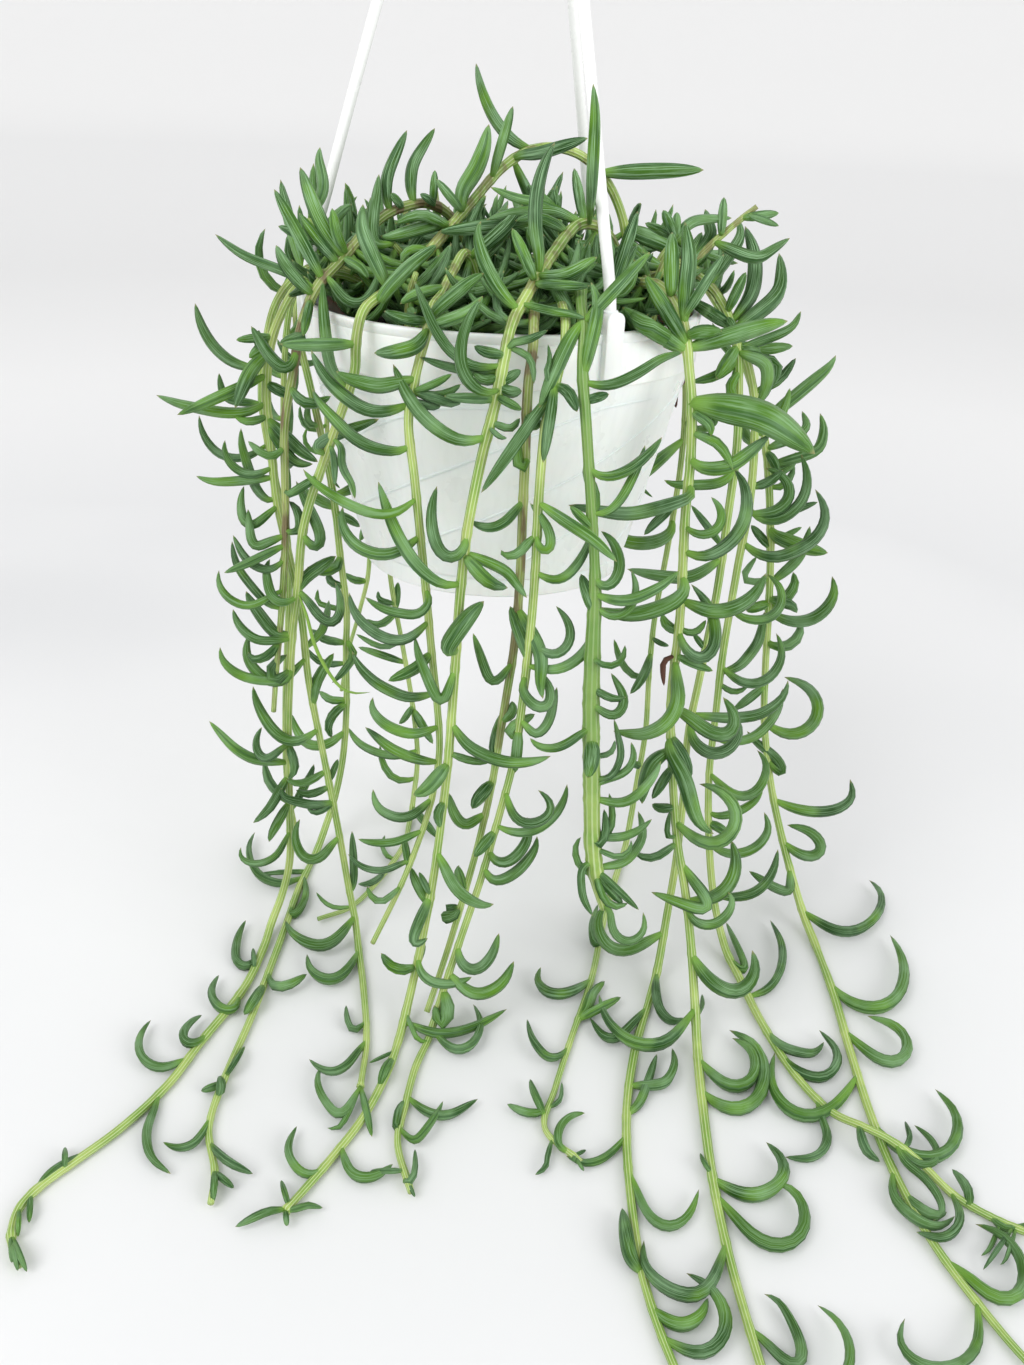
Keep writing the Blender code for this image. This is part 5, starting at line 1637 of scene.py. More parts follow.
# A leaf's shape: half widths along it, and the rings of a short and of a long one
FULL_SHARE = 0.066
LEAF_STATIONS = 17
MASTER_SIDES = 6
LEAF_OUTLINE = [(0.0, 0.36), (0.06, 0.55), (0.15, 0.79), (0.27, 0.95), (0.39, 1.0), (0.51, 1.0),
                (0.63, 0.96), (0.74, 0.86), (0.84, 0.69), (0.92, 0.46), (0.97, 0.24)]
FEW_RINGS = [0.0, 0.12, 0.28, 0.45, 0.62, 0.78, 0.92]
MANY_RINGS = [0.0, 0.05, 0.11, 0.17, 0.23, 0.29, 0.35, 0.41, 0.47, 0.53, 0.59, 0.65, 0.71, 0.77, 0.83,
              0.89, 0.95]
FLATNESS = 0.86
ROLLS = (-0.16, 0.16)
NEARLY_STRAIGHT = 0.05
STRAIGHT_SIDE = (0.0, -1.0, 0.35)

# Leaves drawn over the photograph: how their lines are evened, how wide they are for the width written,
# and how far they arch or lean towards the camera where no lean is written
DRAWN_STEP = 2.0
LINE_STATIONS = 33
LINE_EASING = 6
LONG_LEAF_PIXELS = 62.0
HANGING_WIDTH = 1.48
LYING_WIDTH = 1.16
MOUND_WIDTH = 1.35
MOUND_LEAN = (3.0, 9.0)
HANGING_LEAN = (-1.0, 5.0)
LYING_ARCH = (0.0, 4.0)
LYING_MARGIN = 0.7
LEAST_SLOPE = -0.05
POT_STEPS = 40
AS_NEAR = 4.0
AS_NEAR_ABOVE = 16.0

# Shades that mark what isn't a common leaf, and from which width a leaf is a broad pale one
BROAD_LEAF = 20
BROAD_TONE = 1.0
ROOT_TONE = 2.0
SHOOT_TONE = 3.0

# What leaves of the rule may not hide, in pixels: the front arm down to this row, and its clip
IN_FRONT = 9.0
FRONT_STRIDE = 4
FRONT_STEP = 4.0
ARM_LOWEST_ROW = 312.0
CLIP_AWAY = 404.0
CLIP_SPOTS = [(x, y) for x in range(600, 629, 7) for y in range(312, 380, 8)]
# which of its checked points have to lie inside the mound's edge
MIDDLE_CHECK = 5
LAST_CHECK = 8


def draws(use, owner):
    """Random draws for one use on one stem."""
    return random.Random(FIRST_SEED * SEEDS[use] + owner)


class Leaf:
    """One leaf: its middle line in millimetres, its half width and its own shade."""

    def __init__(self, line, half_width, draw):
        self.line = line
        self.half_width = half_width
        self.roll = draw.uniform(*ROLLS)
        self.tone = draw.random()
        self.fine = False


def master_leaf(heights):
    """A straight leaf that others are bent from: a disc drawn up in rings to a point."""
    places, widths = zip(*LEAF_OUTLINE)
    rings = [(height, float(np.interp(height, places, widths))) for height in heights]
    put_down()
    bpy.ops.mesh.primitive_circle_add(vertices=MASTER_SIDES, radius=rings[0][1], fill_type="NGON",
                                      location=(0.0, 0.0, 0.0))
    made = bpy.context.object
    edit_all()
    for (low, old), (high, new) in zip(rings, rings[1:]):
        draw_out(high - low, new / old, high)
    rise = (0.0, 0.0, 1.0 - rings[-1][0])
    bpy.ops.mesh.extrude_region_move(TRANSFORM_OT_translate={"value": rise})
    bpy.ops.mesh.merge(type="CENTER")
    face_outwards()
    corners = np.array([vertex.co for vertex in made.data.vertices])
    faces = [tuple(face.vertices) for face in made.data.polygons]
    bpy.data.objects.remove(made, do_unlink=True)
    return corners, faces


def bent(leaf, corners):
    """The master leaf's corners, bent along this leaf's middle line."""
    line = leaf.line
    tangents = route_tangents(line)
    turning = np.cross(tangents[:-1], tangents[1:]).sum(axis=0)
    if np.linalg.norm(turning) < NEARLY_STRAIGHT:
        turning = np.cross(tangents[0], STRAIGHT_SIDE)
    turning = unit(turning)
    sides = turning - tangents * (tangents @ turning)[:, None]
    sides /= np.linalg.norm(sides, axis=1)[:, None]
    outer = np.cross(tangents, sides)
    share = corners[:, 2]
    spots = np.linspace(0.0, 1.0, len(line))
    width = corners[:, :1] * leaf.half_width
    depth = corners[:, 1:2] * leaf.half_width * FLATNESS
    middle = read_off(share, spots, line)
    return middle + read_off(share, spots, sides) * width + read_off(share, spots, outer) * depth


def arc_leaf(grown, draw):
    """A leaf as the rule set it."""
    point, outwards, bend, length, start, turn = grown
    line = leaf_line(point, outwards, bend, length, start, turn, np.linspace(0.0, 1.0, LEAF_STATIONS))
    return Leaf(line, FULL_SHARE * length, draw)


def drawn(rows):
    """Leaves written one a line: the width, the marks of the middle line and perhaps how far the tip leans
    towards the camera."""
    leaves = []
    for row in filter(None, rows.split("\n")):
        width, *marks = row.split()
        lean = float(marks.pop()) if "," not in marks[-1] else None
        leaves.append((float(width), [tuple(float(x) for x in mark.split(",")) for mark in marks], lean))
    return leaves


def within(outline, pixel):
    """Whether a pixel lies inside a closed outline."""
    x, y = pixel
    odd = False
    for (ax, ay), (bx, by) in zip(outline, outline[1:] + outline[:1]):
        if (ay > y) != (by > y) and x < ax + (y - ay) * (bx - ax) / (by - ay):
            odd = not odd
    return odd


def out_of_pot(line, half):
    """The line drawn towards the camera where it would touch the pot."""
    towards = CAMERA_PLACE - line
    towards /= np.linalg.norm(towards, axis=1)[:, None]
    line = line.copy()
    for _ in range(POT_STEPS):
        reach = np.hypot(line[:, 0], line[:, 1])
        wall = np.where(line[:, 2] > -BAND_HEIGHT - half, RIM_RADIUS, wall_radius(line[:, 2]))
        touches = (reach < wall + half + POT_MARGIN) & (line[:, 2] < half) & (line[:, 2] > -POT_HEIGHT - half)
        if not touches.any():
            break
        line[touches] += towards[touches]
    return line


def open_line(stem):
    """The stem's middle line from where it has risen out of the pot."""
    line = smooth_route(stem_points(stem), OPEN_STEP)
    return line[int(np.argmax(line[:, 2] > OPEN_HEIGHT)):]


def middle_pixels(marks):
    """A drawn leaf's middle line as even pixels, with its marks eased, and whether the leaf is long."""
    flat = smooth_route(np.column_stack([marks, np.zeros(len(marks))]), DRAWN_STEP)[:, :2]
    pixels = read_off(np.linspace(0, len(flat) - 1, LINE_STATIONS), np.arange(len(flat)), flat)
    for _ in range(LINE_EASING):
        pixels[1:-1] = 0.25 * pixels[:-2] + 0.5 * pixels[1:-1] + 0.25 * pixels[2:]
    return pixels, len(flat) > LONG_LEAF_PIXELS / DRAWN_STEP


def drawn_leaf(stem_line, width, marks, lean, draw):
    """A leaf drawn over the photograph: it starts on its stem and lies on the floor where the stem does."""
    on_photo, depths = seen(stem_line)
    marks = np.asarray(marks, float)
    foot = nearest(on_photo, marks[0])
    base, depth = stem_line[foot], depths[foot]
    pixels, is_long = middle_pixels(np.vstack([on_photo[foot], marks[1:]]))
    rays = sight(pixels)
    lies, over_rim = base[2] < LYING_HEIGHT, base[2] > 0.0
    scale = LYING_WIDTH if lies else MOUND_WIDTH if over_rim else HANGING_WIDTH
    half = 0.5 * scale * width * depth / FOCAL_PIXELS
    share = np.linspace(0.0, 1.0, LINE_STATIONS)
    rest = FLOOR + half + LYING_MARGIN
    if lies:
        arch = draw.uniform(*LYING_ARCH) * np.sin(math.pi * share)
        heights = rest + (base[2] - rest) * (1.0 - share) ** 2 + arch
        reach = (heights - CAMERA_PLACE[2]) / rays[:, 2]
    else:
        lean = draw.uniform(*HANGING_LEAN) if lean is None else lean
        if over_rim and lean < MOUND_LEAN[0]:
            lean = draw.uniform(*MOUND_LEAN)
        bulge = lean * np.sin(0.5 * math.pi * np.sqrt(share))
        ground = (rest - CAMERA_PLACE[2]) / np.minimum(rays[:, 2], LEAST_SLOPE)
        reach = np.minimum(depth - bulge, ground)
    line = out_of_pot(CAMERA_PLACE + rays * reach[:, None], half)
    line[0] = base
    leaf = Leaf(line, half, draw)
    leaf.fine = is_long
    leaf.tone = BROAD_TONE if width > BROAD_LEAF else leaf.tone
    return leaf


def shared_out(rows, as_near=AS_NEAR):
    """Leaves for each stem: each goes to the stem that it starts nearest to, the front one of two as near."""
    views = {stem.name: seen(open_line(stem)) for stem in STEMS if stem.name not in OUT_OF_SIGHT}
    given = {stem.name: [] for stem in STEMS}
    for width, marks, lean in drawn(rows):
        choices = []
        for name, (pixels, depths) in views.items():
            away = np.linalg.norm(pixels - marks[0], axis=1)
            closest = int(away.argmin())
            choices.append((max(1, round(away[closest] / as_near)), depths[closest], name))
        given[min(choices)[2]].append((width, marks, lean))
    return given


def in_place(stem, grown, fronts):
    """Whether a leaf of the rule may stay: it hides nothing that was drawn, and on a stem in sight it keeps
    inside the mound's edge."""
    pixels, depths = seen(leaf_line(*grown, CHECKS))
    inside = [within(MOUND_OUTLINE, pixels[place]) for place in (MIDDLE_CHECK, LAST_CHECK)]
    if stem.name not in OUT_OF_SIGHT and not all(inside):
        return False
    for pixel, depth in zip(pixels, depths):
        if (np.linalg.norm(fronts[:, :2] - pixel, axis=1)[fronts[:, 2] > depth] < IN_FRONT).any():
            return False
    return True


def shown_in_front(lines):
    """Pixels and depths of what the photograph shows uncovered: drawn leaves, the front arm, its clip."""
    spots = [np.column_stack(seen(line[::FRONT_STRIDE])) for line in lines]
    arm = np.column_stack(seen(smooth_route(arm_route(CLIP_AZIMUTHS["front"]), FRONT_STEP)))
    spots.append(arm[(arm[:, 1] > 0.0) & (arm[:, 1] < ARM_LOWEST_ROW)])
    spots.append(np.array([(x, y, CLIP_AWAY) for x, y in CLIP_SPOTS]))
    return np.vstack(spots)


def over_soil(line):
    """Whether a leaf keeps off the rim and out of the soil."""
    at_rim = np.hypot(line[:, 0], line[:, 1]) > RIM_INNER_RADIUS - RIM_CLEARANCE
    low = line[:, 2] < RIM_OVERHEAD
    return not (at_rim & low).any() and line[:, 2].min() >= SOIL_CROWN + SOIL_CLEARANCE


def thicket(stem, owner, fronts):
    """The mound's many leaves, which cross each other."""
    draw = draws("thicket", owner)
    walk = Walk(stem)
    more = []
    along = FIRST_LEAF
    while along < walk.length - TIP_MARGIN:
        point, tangent, free, cross = walk.spot(along)
        along += THICKET_PITCH * draw.uniform(*THICKET_SPREAD)
        if not THICKET_LOW < point[2] < THICKET_TOP:
            continue
        length = MOUND_LEAF * draw.uniform(*THICKET_SIZES)
        for _ in range(THICKET_TRIES):
            spin = draw.uniform(-math.pi, math.pi)
            outwards = math.cos(spin) * free + math.sin(spin) * cross
            bend = unit(upward(outwards, tangent) + THICKET_SWING * draw.uniform(-1.0, 1.0) * cross)
            start, turn = draw.uniform(*THICKET_START), draw.uniform(*THICKET_TURN)
            grown = (point, outwards, bend, length, start, turn)
            if over_soil(leaf_line(*grown, CHECKS)) and in_place(stem, grown, fronts):
                more.append(grown)
                break
    return more


def fill_in(stem, owner, crowd):
    """More leaves between the ones that the solids have."""
    draw = draws("more", owner)
    walk = Walk(stem)
    taken = [walk.walked[nearest(walk.line, grown[0])] for grown in stem.leaves]
    more = []
    along = FIRST_LEAF
    hand = draw.choice((-1.0, 1.0))
    while along < walk.length - TIP_MARGIN:
        here = along
        along += VISUAL_PITCH * draw.uniform(*VISUAL_SPREAD)
        spot = walk.spot(here)
        height = spot[0][2]
        crowded = any(abs(here - place) < VISUAL_APART * VISUAL_PITCH for place in taken)
        if rises(stem, height) or crowded:
            continue
        habit = leaf_habit(stem, height, walk.length - here, hand, draw)
        grown = fitted(stem, owner, crowd, spot, habit, hand, FILL_CLEARANCE)
        if grown:
            more.append(grown)
        hand = -hand if draw.random() < SWAP_HANDS else hand
    return more


# Stems

STEM_RING_SIDES = 10
STEM_RING_STEP = 2.0
NODE_SWELLING = 0.1
NODE_LIMIT = 1.1
NODE_RUN = 1.6
STEM_SCALE = 0.88
# heights where the stems lie on the floor or come down to it, and how much thicker they are there
LOW_HEIGHTS = (-276.0, -262.0, -180.0)
LOW_SCALES = (1.42, 1.3, 1.06)
# rows of the photograph and how much thicker the stem is there
THICK_STEMS = {"trail_12": ((560.0, 650.0, 860.0, 900.0), (1.0, 1.75, 2.5, 1.5))}
EVEN_STEM = ((0.0, 1.0), (1.0, 1.0))
# how brown a stem is, growing with height, and more of it on the arches over the rim;
# below nought, how like a leaf it is
BROWN_STEMS = {"trail_03": 1.0, "trail_10": 1.0, "trail_14": 0.2, "trail_05": 0.5, "trail_07": 0.5,
               "trail_12": -1.2}
BROWN_USUAL = 0.25
BROWN_HEIGHTS = (-240.0, -60.0)
BROWN_ABOVE = 0.35
ARCH_HEIGHTS = (-10.0, 15.0)


def dressed_radii(stem, line, walked, leaves):
    """How thick the stem is: it swells at its nodes, is thicker low down, and keeps over the floor."""
    radii = stem_radii(stem, len(line))
    for leaf in leaves:
        base = walked[nearest(line, leaf.line[0])]
        radii = radii * (1.0 + NODE_SWELLING * np.exp(-((walked - base) / NODE_RUN) ** 2))
    radii = STEM_SCALE * np.minimum(radii, stem.radius * NODE_LIMIT)
    radii = radii * np.interp(line[:, 2], LOW_HEIGHTS, LOW_SCALES)
    radii = np.minimum(radii, line[:, 2] - FLOOR)
    rows, scales = THICK_STEMS.get(stem.name, EVEN_STEM)
    return radii * np.interp(seen(line)[0][:, 1], rows, scales)


def stem_tube(line, radii):
    """The points and faces of a stem's round body."""
    tangents = route_tangents(line)
    side = first_side(tangents[0])
    points = []
    for centre, tangent, radius in zip(line, tangents, radii):
        side, other = ring_frame(tangent, side)
        points += ring(centre, side, other, radius, STEM_RING_SIDES)
    walls, ends = tube_faces(len(points), STEM_RING_SIDES)
    return points, [ends[0], *walls, ends[1]]


def stem_brown(stem, line):
    """How brown the stem is at each of its points."""
    brown = np.interp(line[:, 2], BROWN_HEIGHTS, (0.0, 1.0)) * BROWN_STEMS.get(stem.name, BROWN_USUAL)
    return brown + np.interp(line[:, 2], ARCH_HEIGHTS, (0.0, BROWN_ABOVE))


def write_lengthwise(mesh, turns, shares):
    """A map of how far round and how far along each point lies, without a jump across a face."""
    spots = []
    for polygon in mesh.polygons:
        here = [turns[i] for i in polygon.vertices]
        highest = max(here)
        for turn, i in zip(here, polygon.vertices):
            spots += [turn + 1.0 if highest - turn > 0.5 else turn, shares[i]]
    mesh.uv_layers.new(name="lengthwise").data.foreach_set("uv", spots)


def stem_mesh(stem, leaves, masters, looks):
    """One object: the stem's round body with its leaves."""
    line = smooth_route(stem_points(stem), STEM_RING_STEP)
    walked = walked_along(line)
    points, faces = stem_tube(line, dressed_radii(stem, line, walked, leaves))
    materials = [0] * len(faces)
    blocks = [np.array(points)]
    shares = [np.repeat(walked / walked[-1], STEM_RING_SIDES)]
    tones = [np.repeat(stem_brown(stem, line), STEM_RING_SIDES)]
    turns = [np.tile(np.arange(STEM_RING_SIDES) / STEM_RING_SIDES, len(line))]
    count = len(points)
    for leaf in leaves:
        corners, leaf_faces = masters[leaf.fine]
        faces += [tuple(count + i for i in face) for face in leaf_faces]
        materials += [1] * len(leaf_faces)
        count += len(corners)
        blocks.append(bent(leaf, corners))
        shares.append(corners[:, 2])
        tones.append(np.full(len(corners), leaf.tone))
        turns.append(np.arctan2(corners[:, 1], corners[:, 0]) / (2 * math.pi) + leaf.roll)
    everything = np.vstack(blocks) * MM
    everything[:, 2] -= HOOK_HEIGHT * MM
    mesh = bpy.data.meshes.new("leafy_" + stem.name)
    mesh.from_pydata(everything.tolist(), [], faces)
    for look in looks:
        mesh.materials.append(look)
    mesh.polygons.foreach_set("material_index", materials)
    mesh.polygons.foreach_set("use_smooth", [True] * len(faces))
    tone = mesh.attributes.new("tone", "FLOAT", "POINT")
    tone.data.foreach_set("value", np.concatenate(tones))
    write_lengthwise(mesh, np.concatenate(turns), np.concatenate(shares))
    mesh.update()
    return added("leafy_" + stem.name, mesh)


def standing_crowd():
    """The stems with the leaves of the solids, and the arms."""
    crowd = Crowd()
    for owner, stem in enumerate(STEMS):
        line = stem_points(stem)
        crowd.add(line, stem_radii(stem, len(line)), owner)
        for grown in stem.leaves:
            crowd.add(leaf_line(*grown, STATIONS), leaf_shape(grown[3]), owner)
    for azimuth in CLIP_AZIMUTHS.values():
        route = arm_route(azimuth)
        crowd.add(route, np.full(len(route), ARM_RADIUS), HANGER)
    return crowd


def leaves_by_hand():
    """The drawn leaves, roots and side shoots of every stem."""
    in_air, above = shared_out(HANGING_LEAVES), shared_out(MOUND_LEAVES, AS_NEAR_ABOVE)
    roots, side_shoots = shared_out(BROWN_ROOTS), shared_out(SIDE_SHOOTS)
    by_hand = {}
    for owner, stem in enumerate(STEMS):
        draw = draws("drawn", owner)
        line = open_line(stem)
        rows = drawn(LYING_LEAVES.get(stem.name, "")) + in_air[stem.name] + above[stem.name]
        by_hand[stem.name] = [drawn_leaf(line, *row, draw) for row in rows]
        for tone, given in ((ROOT_TONE, roots), (SHOOT_TONE, side_shoots)):
            for row in given[stem.name]:
                leaf = drawn_leaf(line, *row, draw)
                leaf.tone = tone
                by_hand[stem.name].append(leaf)
    return by_hand


def make_stems(looks):
    grow_all()
    crowd = standing_crowd()
    masters = {False: master_leaf(FEW_RINGS), True: master_leaf(MANY_RINGS)}
    by_hand = leaves_by_hand()
    fronts = shown_in_front([leaf.line for leaves in by_hand.values() for leaf in leaves])
    for owner, stem in enumerate(STEMS):
        draw = draws("rule", owner)
        more = fill_in(stem, owner, crowd) if stem.name in OUT_OF_SIGHT else []
        kept = [grown for grown in stem.leaves + more if in_place(stem, grown, fronts)]
        kept += thicket(stem, owner, fronts)
        leaves = [arc_leaf(grown, draw) for grown in kept] + by_hand[stem.name]
        leaves = [leaf for leaf in leaves if leaf.line[:, 1].max() < BACK_LIMIT]
        made = stem_mesh(stem, leaves, masters, looks)
        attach(made, "root")
        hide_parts(stem.name)


# Looks


class Look:
    """A material and its nodes."""

    def __init__(self, name):
        self.material = bpy.data.materials.new(name)
        self.material.use_nodes = True
        self.tree = self.material.node_tree
        self.shader = self.tree.nodes["Principled BSDF"]

    def node(self, kind, **settings):
        made = self.tree.nodes.new("ShaderNode" + kind)
        for key, value in settings.items():
            setattr(made, key, value)
        return made

    def join(self, output, socket):
        self.tree.links.new(output, socket)

    def place(self):
        """The point that is shaded, on the piece's own coordinates."""
        return self.node("TexCoord").outputs["Object"]

    def parts(self, source):
        """The X, Y and Z of a place or a direction."""
        made = self.node("SeparateXYZ")
        self.join(source, made.inputs[0])
        return made.outputs

    def spots(self, scale, detail=2.0, source=None, stretch=None):
        """Noise, on the piece's own coordinates if no others are given."""
        if source is None:
            source = self.place()
        if stretch:
            mapping = self.node("Mapping")
            mapping.inputs["Scale"].default_value = stretch
            self.join(source, mapping.inputs["Vector"])
            source = mapping.outputs["Vector"]
        made = self.node("TexNoise")
        made.inputs["Scale"].default_value = scale
        made.inputs["Detail"].default_value = detail
        self.join(source, made.inputs["Vector"])
        return made.outputs["Fac"]

    def between(self, value, low, high, to_low=0.0, to_high=1.0):
        """A value rescaled from one range to another, and clamped."""
        made = self.node("MapRange", interpolation_type="SMOOTHSTEP")
        for socket, number in zip(("From Min", "From Max", "To Min", "To Max"), (low, high, to_low, to_high)):
            made.inputs[socket].default_value = number
        self.join(value, made.inputs["Value"])
        return made.outputs["Result"]

    def patches(self, reach, **spots):
        """Noise with a range of it rescaled."""
        return self.between(self.spots(**spots), *reach)

    def sum(self, operation, first, second=None):
        made = self.node("Math", operation=operation)
        for value, socket in zip((first, second), made.inputs):
            if isinstance(value, (int, float)):
                socket.default_value = value
            elif value is not None:
                self.join(value, socket)
        return made.outputs[0]

    def mix(self, share, first, second):
        """A colour between two, by a share."""
        made = self.node("Mix", data_type="RGBA")
        self.join(share, made.inputs["Factor"])
        for value, socket in ((first, made.inputs["A"]), (second, made.inputs["B"])):
            if isinstance(value, tuple):
                socket.default_value = (*value, 1.0)
            else:
                self.join(value, socket)
        return made.outputs["Result"]

    def colour(self, value):
        self.join(value, self.shader.inputs["Base Color"])

    def roughness(self, value):
        self.join(value, self.shader.inputs["Roughness"])

    def relief(self, height, strength, distance):
        bump = self.node("Bump")
        bump.inputs["Strength"].default_value = strength
        bump.inputs["Distance"].default_value = distance
        self.join(height, bump.inputs["Height"])
        self.join(bump.outputs["Normal"], self.shader.inputs["Normal"])

    def surface(self, values):
        """Set the shader's own values."""
        for name, value in values.items():
            self.shader.inputs[name].default_value = value


# The values of each look. A reach is the range of a value that counts, and what its ends become where that
# isn't 0 and 1; a relief is its strength and its depth in metres
POT_WHITE = (0.91, 0.92, 0.905)
POT_SHADE = (0.85, 0.86, 0.845)
POT_CLOUDS = {"reach": (0.35, 0.7), "scale": 38.0, "detail": 3.0}
POT_STREAKS = {"reach": (0.42, 0.72), "scale": 1.0, "stretch": (420.0, 420.0, 9.0)}
POT_GLOSS = {"reach": (0.3, 0.7, 0.26, 0.42), "scale": 90.0, "detail": 3.0}
POT_GRAIN = {"scale": 240.0, "detail": 3.0}
POT_RELIEF = (0.06, 0.0006)
POT_SURFACE = {"Specular IOR Level": 0.45, "Subsurface Weight": 0.12, "Subsurface Scale": 0.004}
# specks of dirt on the pot: where they are, and how large
SPECKS = [((13.6, -74.0, -6.9), 0.5), ((15.0, -73.8, -7.6), 0.35), ((17.2, -73.4, -8.6), 0.45),
          ((-12.6, -68.0, -35.0), 0.4)]
SPECK_BROWN = (0.16, 0.11, 0.05)
SPECK_FADE = 2.2

HANGER_WHITE = (0.89, 0.895, 0.885)
HANGER_SHADE = (0.87, 0.88, 0.87)
HANGER_CLOUDS = {"reach": (0.35, 0.7), "scale": 30.0}
HANGER_GLOSS = {"reach": (0.3, 0.7, 0.18, 0.3), "scale": 160.0}
HANGER_GRAIN = {"scale": 500.0}
HANGER_RELIEF = (0.04, 0.0004)

SOIL_DARK = (0.012, 0.008, 0.006)
SOIL_BROWN = (0.07, 0.045, 0.028)
FIBRE_BROWN = (0.2, 0.13, 0.07)
SOIL_GRAINS = {"scale": 420.0, "detail": 6.0}
SOIL_GRAIN_REACH = (0.35, 0.65)
SOIL_FIBRES = {"reach": (0.66, 0.74), "scale": 900.0, "stretch": (1.0, 0.25, 1.0)}
SOIL_GLOSS = {"reach": (0.3, 0.7, 0.75, 1.0), "scale": 200.0}
SOIL_RELIEF = (0.9, 0.0012)


def pot_look():
    look = Look("white_pot_plastic")
    clouds = look.patches(**POT_CLOUDS)
    streaks = look.patches(**POT_STREAKS)
    both = look.sum("MULTIPLY", look.sum("ADD", clouds, streaks), 0.5)
    colour = look.mix(both, POT_WHITE, POT_SHADE)
    place = look.place()
    for spot, size in SPECKS:
        away = look.node("VectorMath", operation="DISTANCE")
        look.join(place, away.inputs[0])
        away.inputs[1].default_value = world(spot)
        near = look.between(away.outputs["Value"], size * MM, size * SPECK_FADE * MM, 1.0, 0.0)
        colour = look.mix(near, colour, SPECK_BROWN)
    look.colour(colour)
    look.roughness(look.patches(**POT_GLOSS))
    look.relief(look.spots(**POT_GRAIN), *POT_RELIEF)
    look.surface(POT_SURFACE)
    return look.material


def hanger_look():
    look = Look("white_hanger_plastic")
    look.colour(look.mix(look.patches(**HANGER_CLOUDS), HANGER_WHITE, HANGER_SHADE))
    look.roughness(look.patches(**HANGER_GLOSS))
    look.relief(look.spots(**HANGER_GRAIN), *HANGER_RELIEF)
    return look.material


def soil_look():
    look = Look("damp_peat")
    grains = look.spots(**SOIL_GRAINS)
    brown = look.mix(look.between(grains, *SOIL_GRAIN_REACH), SOIL_DARK, SOIL_BROWN)
    look.colour(look.mix(look.patches(**SOIL_FIBRES), brown, FIBRE_BROWN))
    look.roughness(look.patches(**SOIL_GLOSS))
    look.relief(grains, *SOIL_RELIEF)
    return look.material


def place_on_plant(look):
    """How far round and how far along a leaf or stem the shaded point lies, and its shade."""
    spot = look.parts(look.node("UVMap", uv_map="lengthwise").outputs["UV"])
    return spot["X"], spot["Y"], look.node("Attribute", attribute_name="tone").outputs["Fac"]


# A leaf's colours, from its own green to what lies over it
LEAF_DEEP = (0.014, 0.058, 0.006)
LEAF_BRIGHT = (0.070, 0.175, 0.020)
LEAF_FRESH = (0.130, 0.290, 0.020)
LEAF_BLOOM = (0.265, 0.440, 0.240)
LEAF_WINDOW = (0.018, 0.070, 0.018)
LEAF_FOOT_GREEN = (0.21, 0.40, 0.06)
LEAF_TIP_YELLOW = (0.42, 0.38, 0.16)
# painted shade: leaves are darkened at their edges, where their surface turns away from the camera
LEAF_EDGE_PAINTED_SHADE = (0.012, 0.050, 0.010)
ROOT_BROWN = (0.10, 0.045, 0.03)
SHOOT_GREEN = (0.24, 0.41, 0.075)
FRESH_PATCHES = {"reach": (0.5, 0.68), "scale": 45.0}
FRESH_SHARE = 0.7
# streaks of bloom along the leaf, painted stronger over the rim as painted light on the top of the plant, and
# a haze of it
BLOOM_STREAKS = {"reach": (0.42, 0.66), "scale": 46.0, "detail": 3.0}
STREAK_STRETCH = 0.05
LIT_BLOOM_HEIGHTS = (-10.0, 30.0)
LIT_BLOOM_SHARES = (0.55, 0.9)
BLOOM_HAZE = {"reach": (0.42, 0.72, 0.0, 0.36), "scale": 70.0, "detail": 3.0}
# the dark line along the leaf: from its middle outwards, where it starts and where it ends
WINDOW_TURN = 1.25
WINDOW_REACH = (0.022, 0.05, 1.0, 0.0)
WINDOW_START = (0.1, 0.2)
WINDOW_END = (0.88, 0.95, 1.0, 0.0)
WINDOW_SHARE = 0.55
WINDOW_DENT = 1.2
LEAF_FOOT_REACH = (0.0, 0.22, 0.85, 0.0)
LEAF_TIP_REACH = (0.95, 1.0, 0.0, 0.85)
LEAF_EDGE_SHADE_REACH = (0.6, 1.0, 0.0, 0.06)
ROOT_REACH = (1.4, 1.6)
SHOOT_REACH = (2.4, 2.6)
LEAF_GLOSS = (0.0, 1.0, 0.4, 0.58)
LEAF_RELIEF = (0.35, 0.0004)
LEAF_SURFACE = {"Specular IOR Level": 0.15, "Sheen Weight": 0.02, "Sheen Roughness": 0.4,
                "Subsurface Weight": 0.08, "Subsurface Scale": 0.002, "Subsurface Radius": (0.4, 1.0, 0.2)}


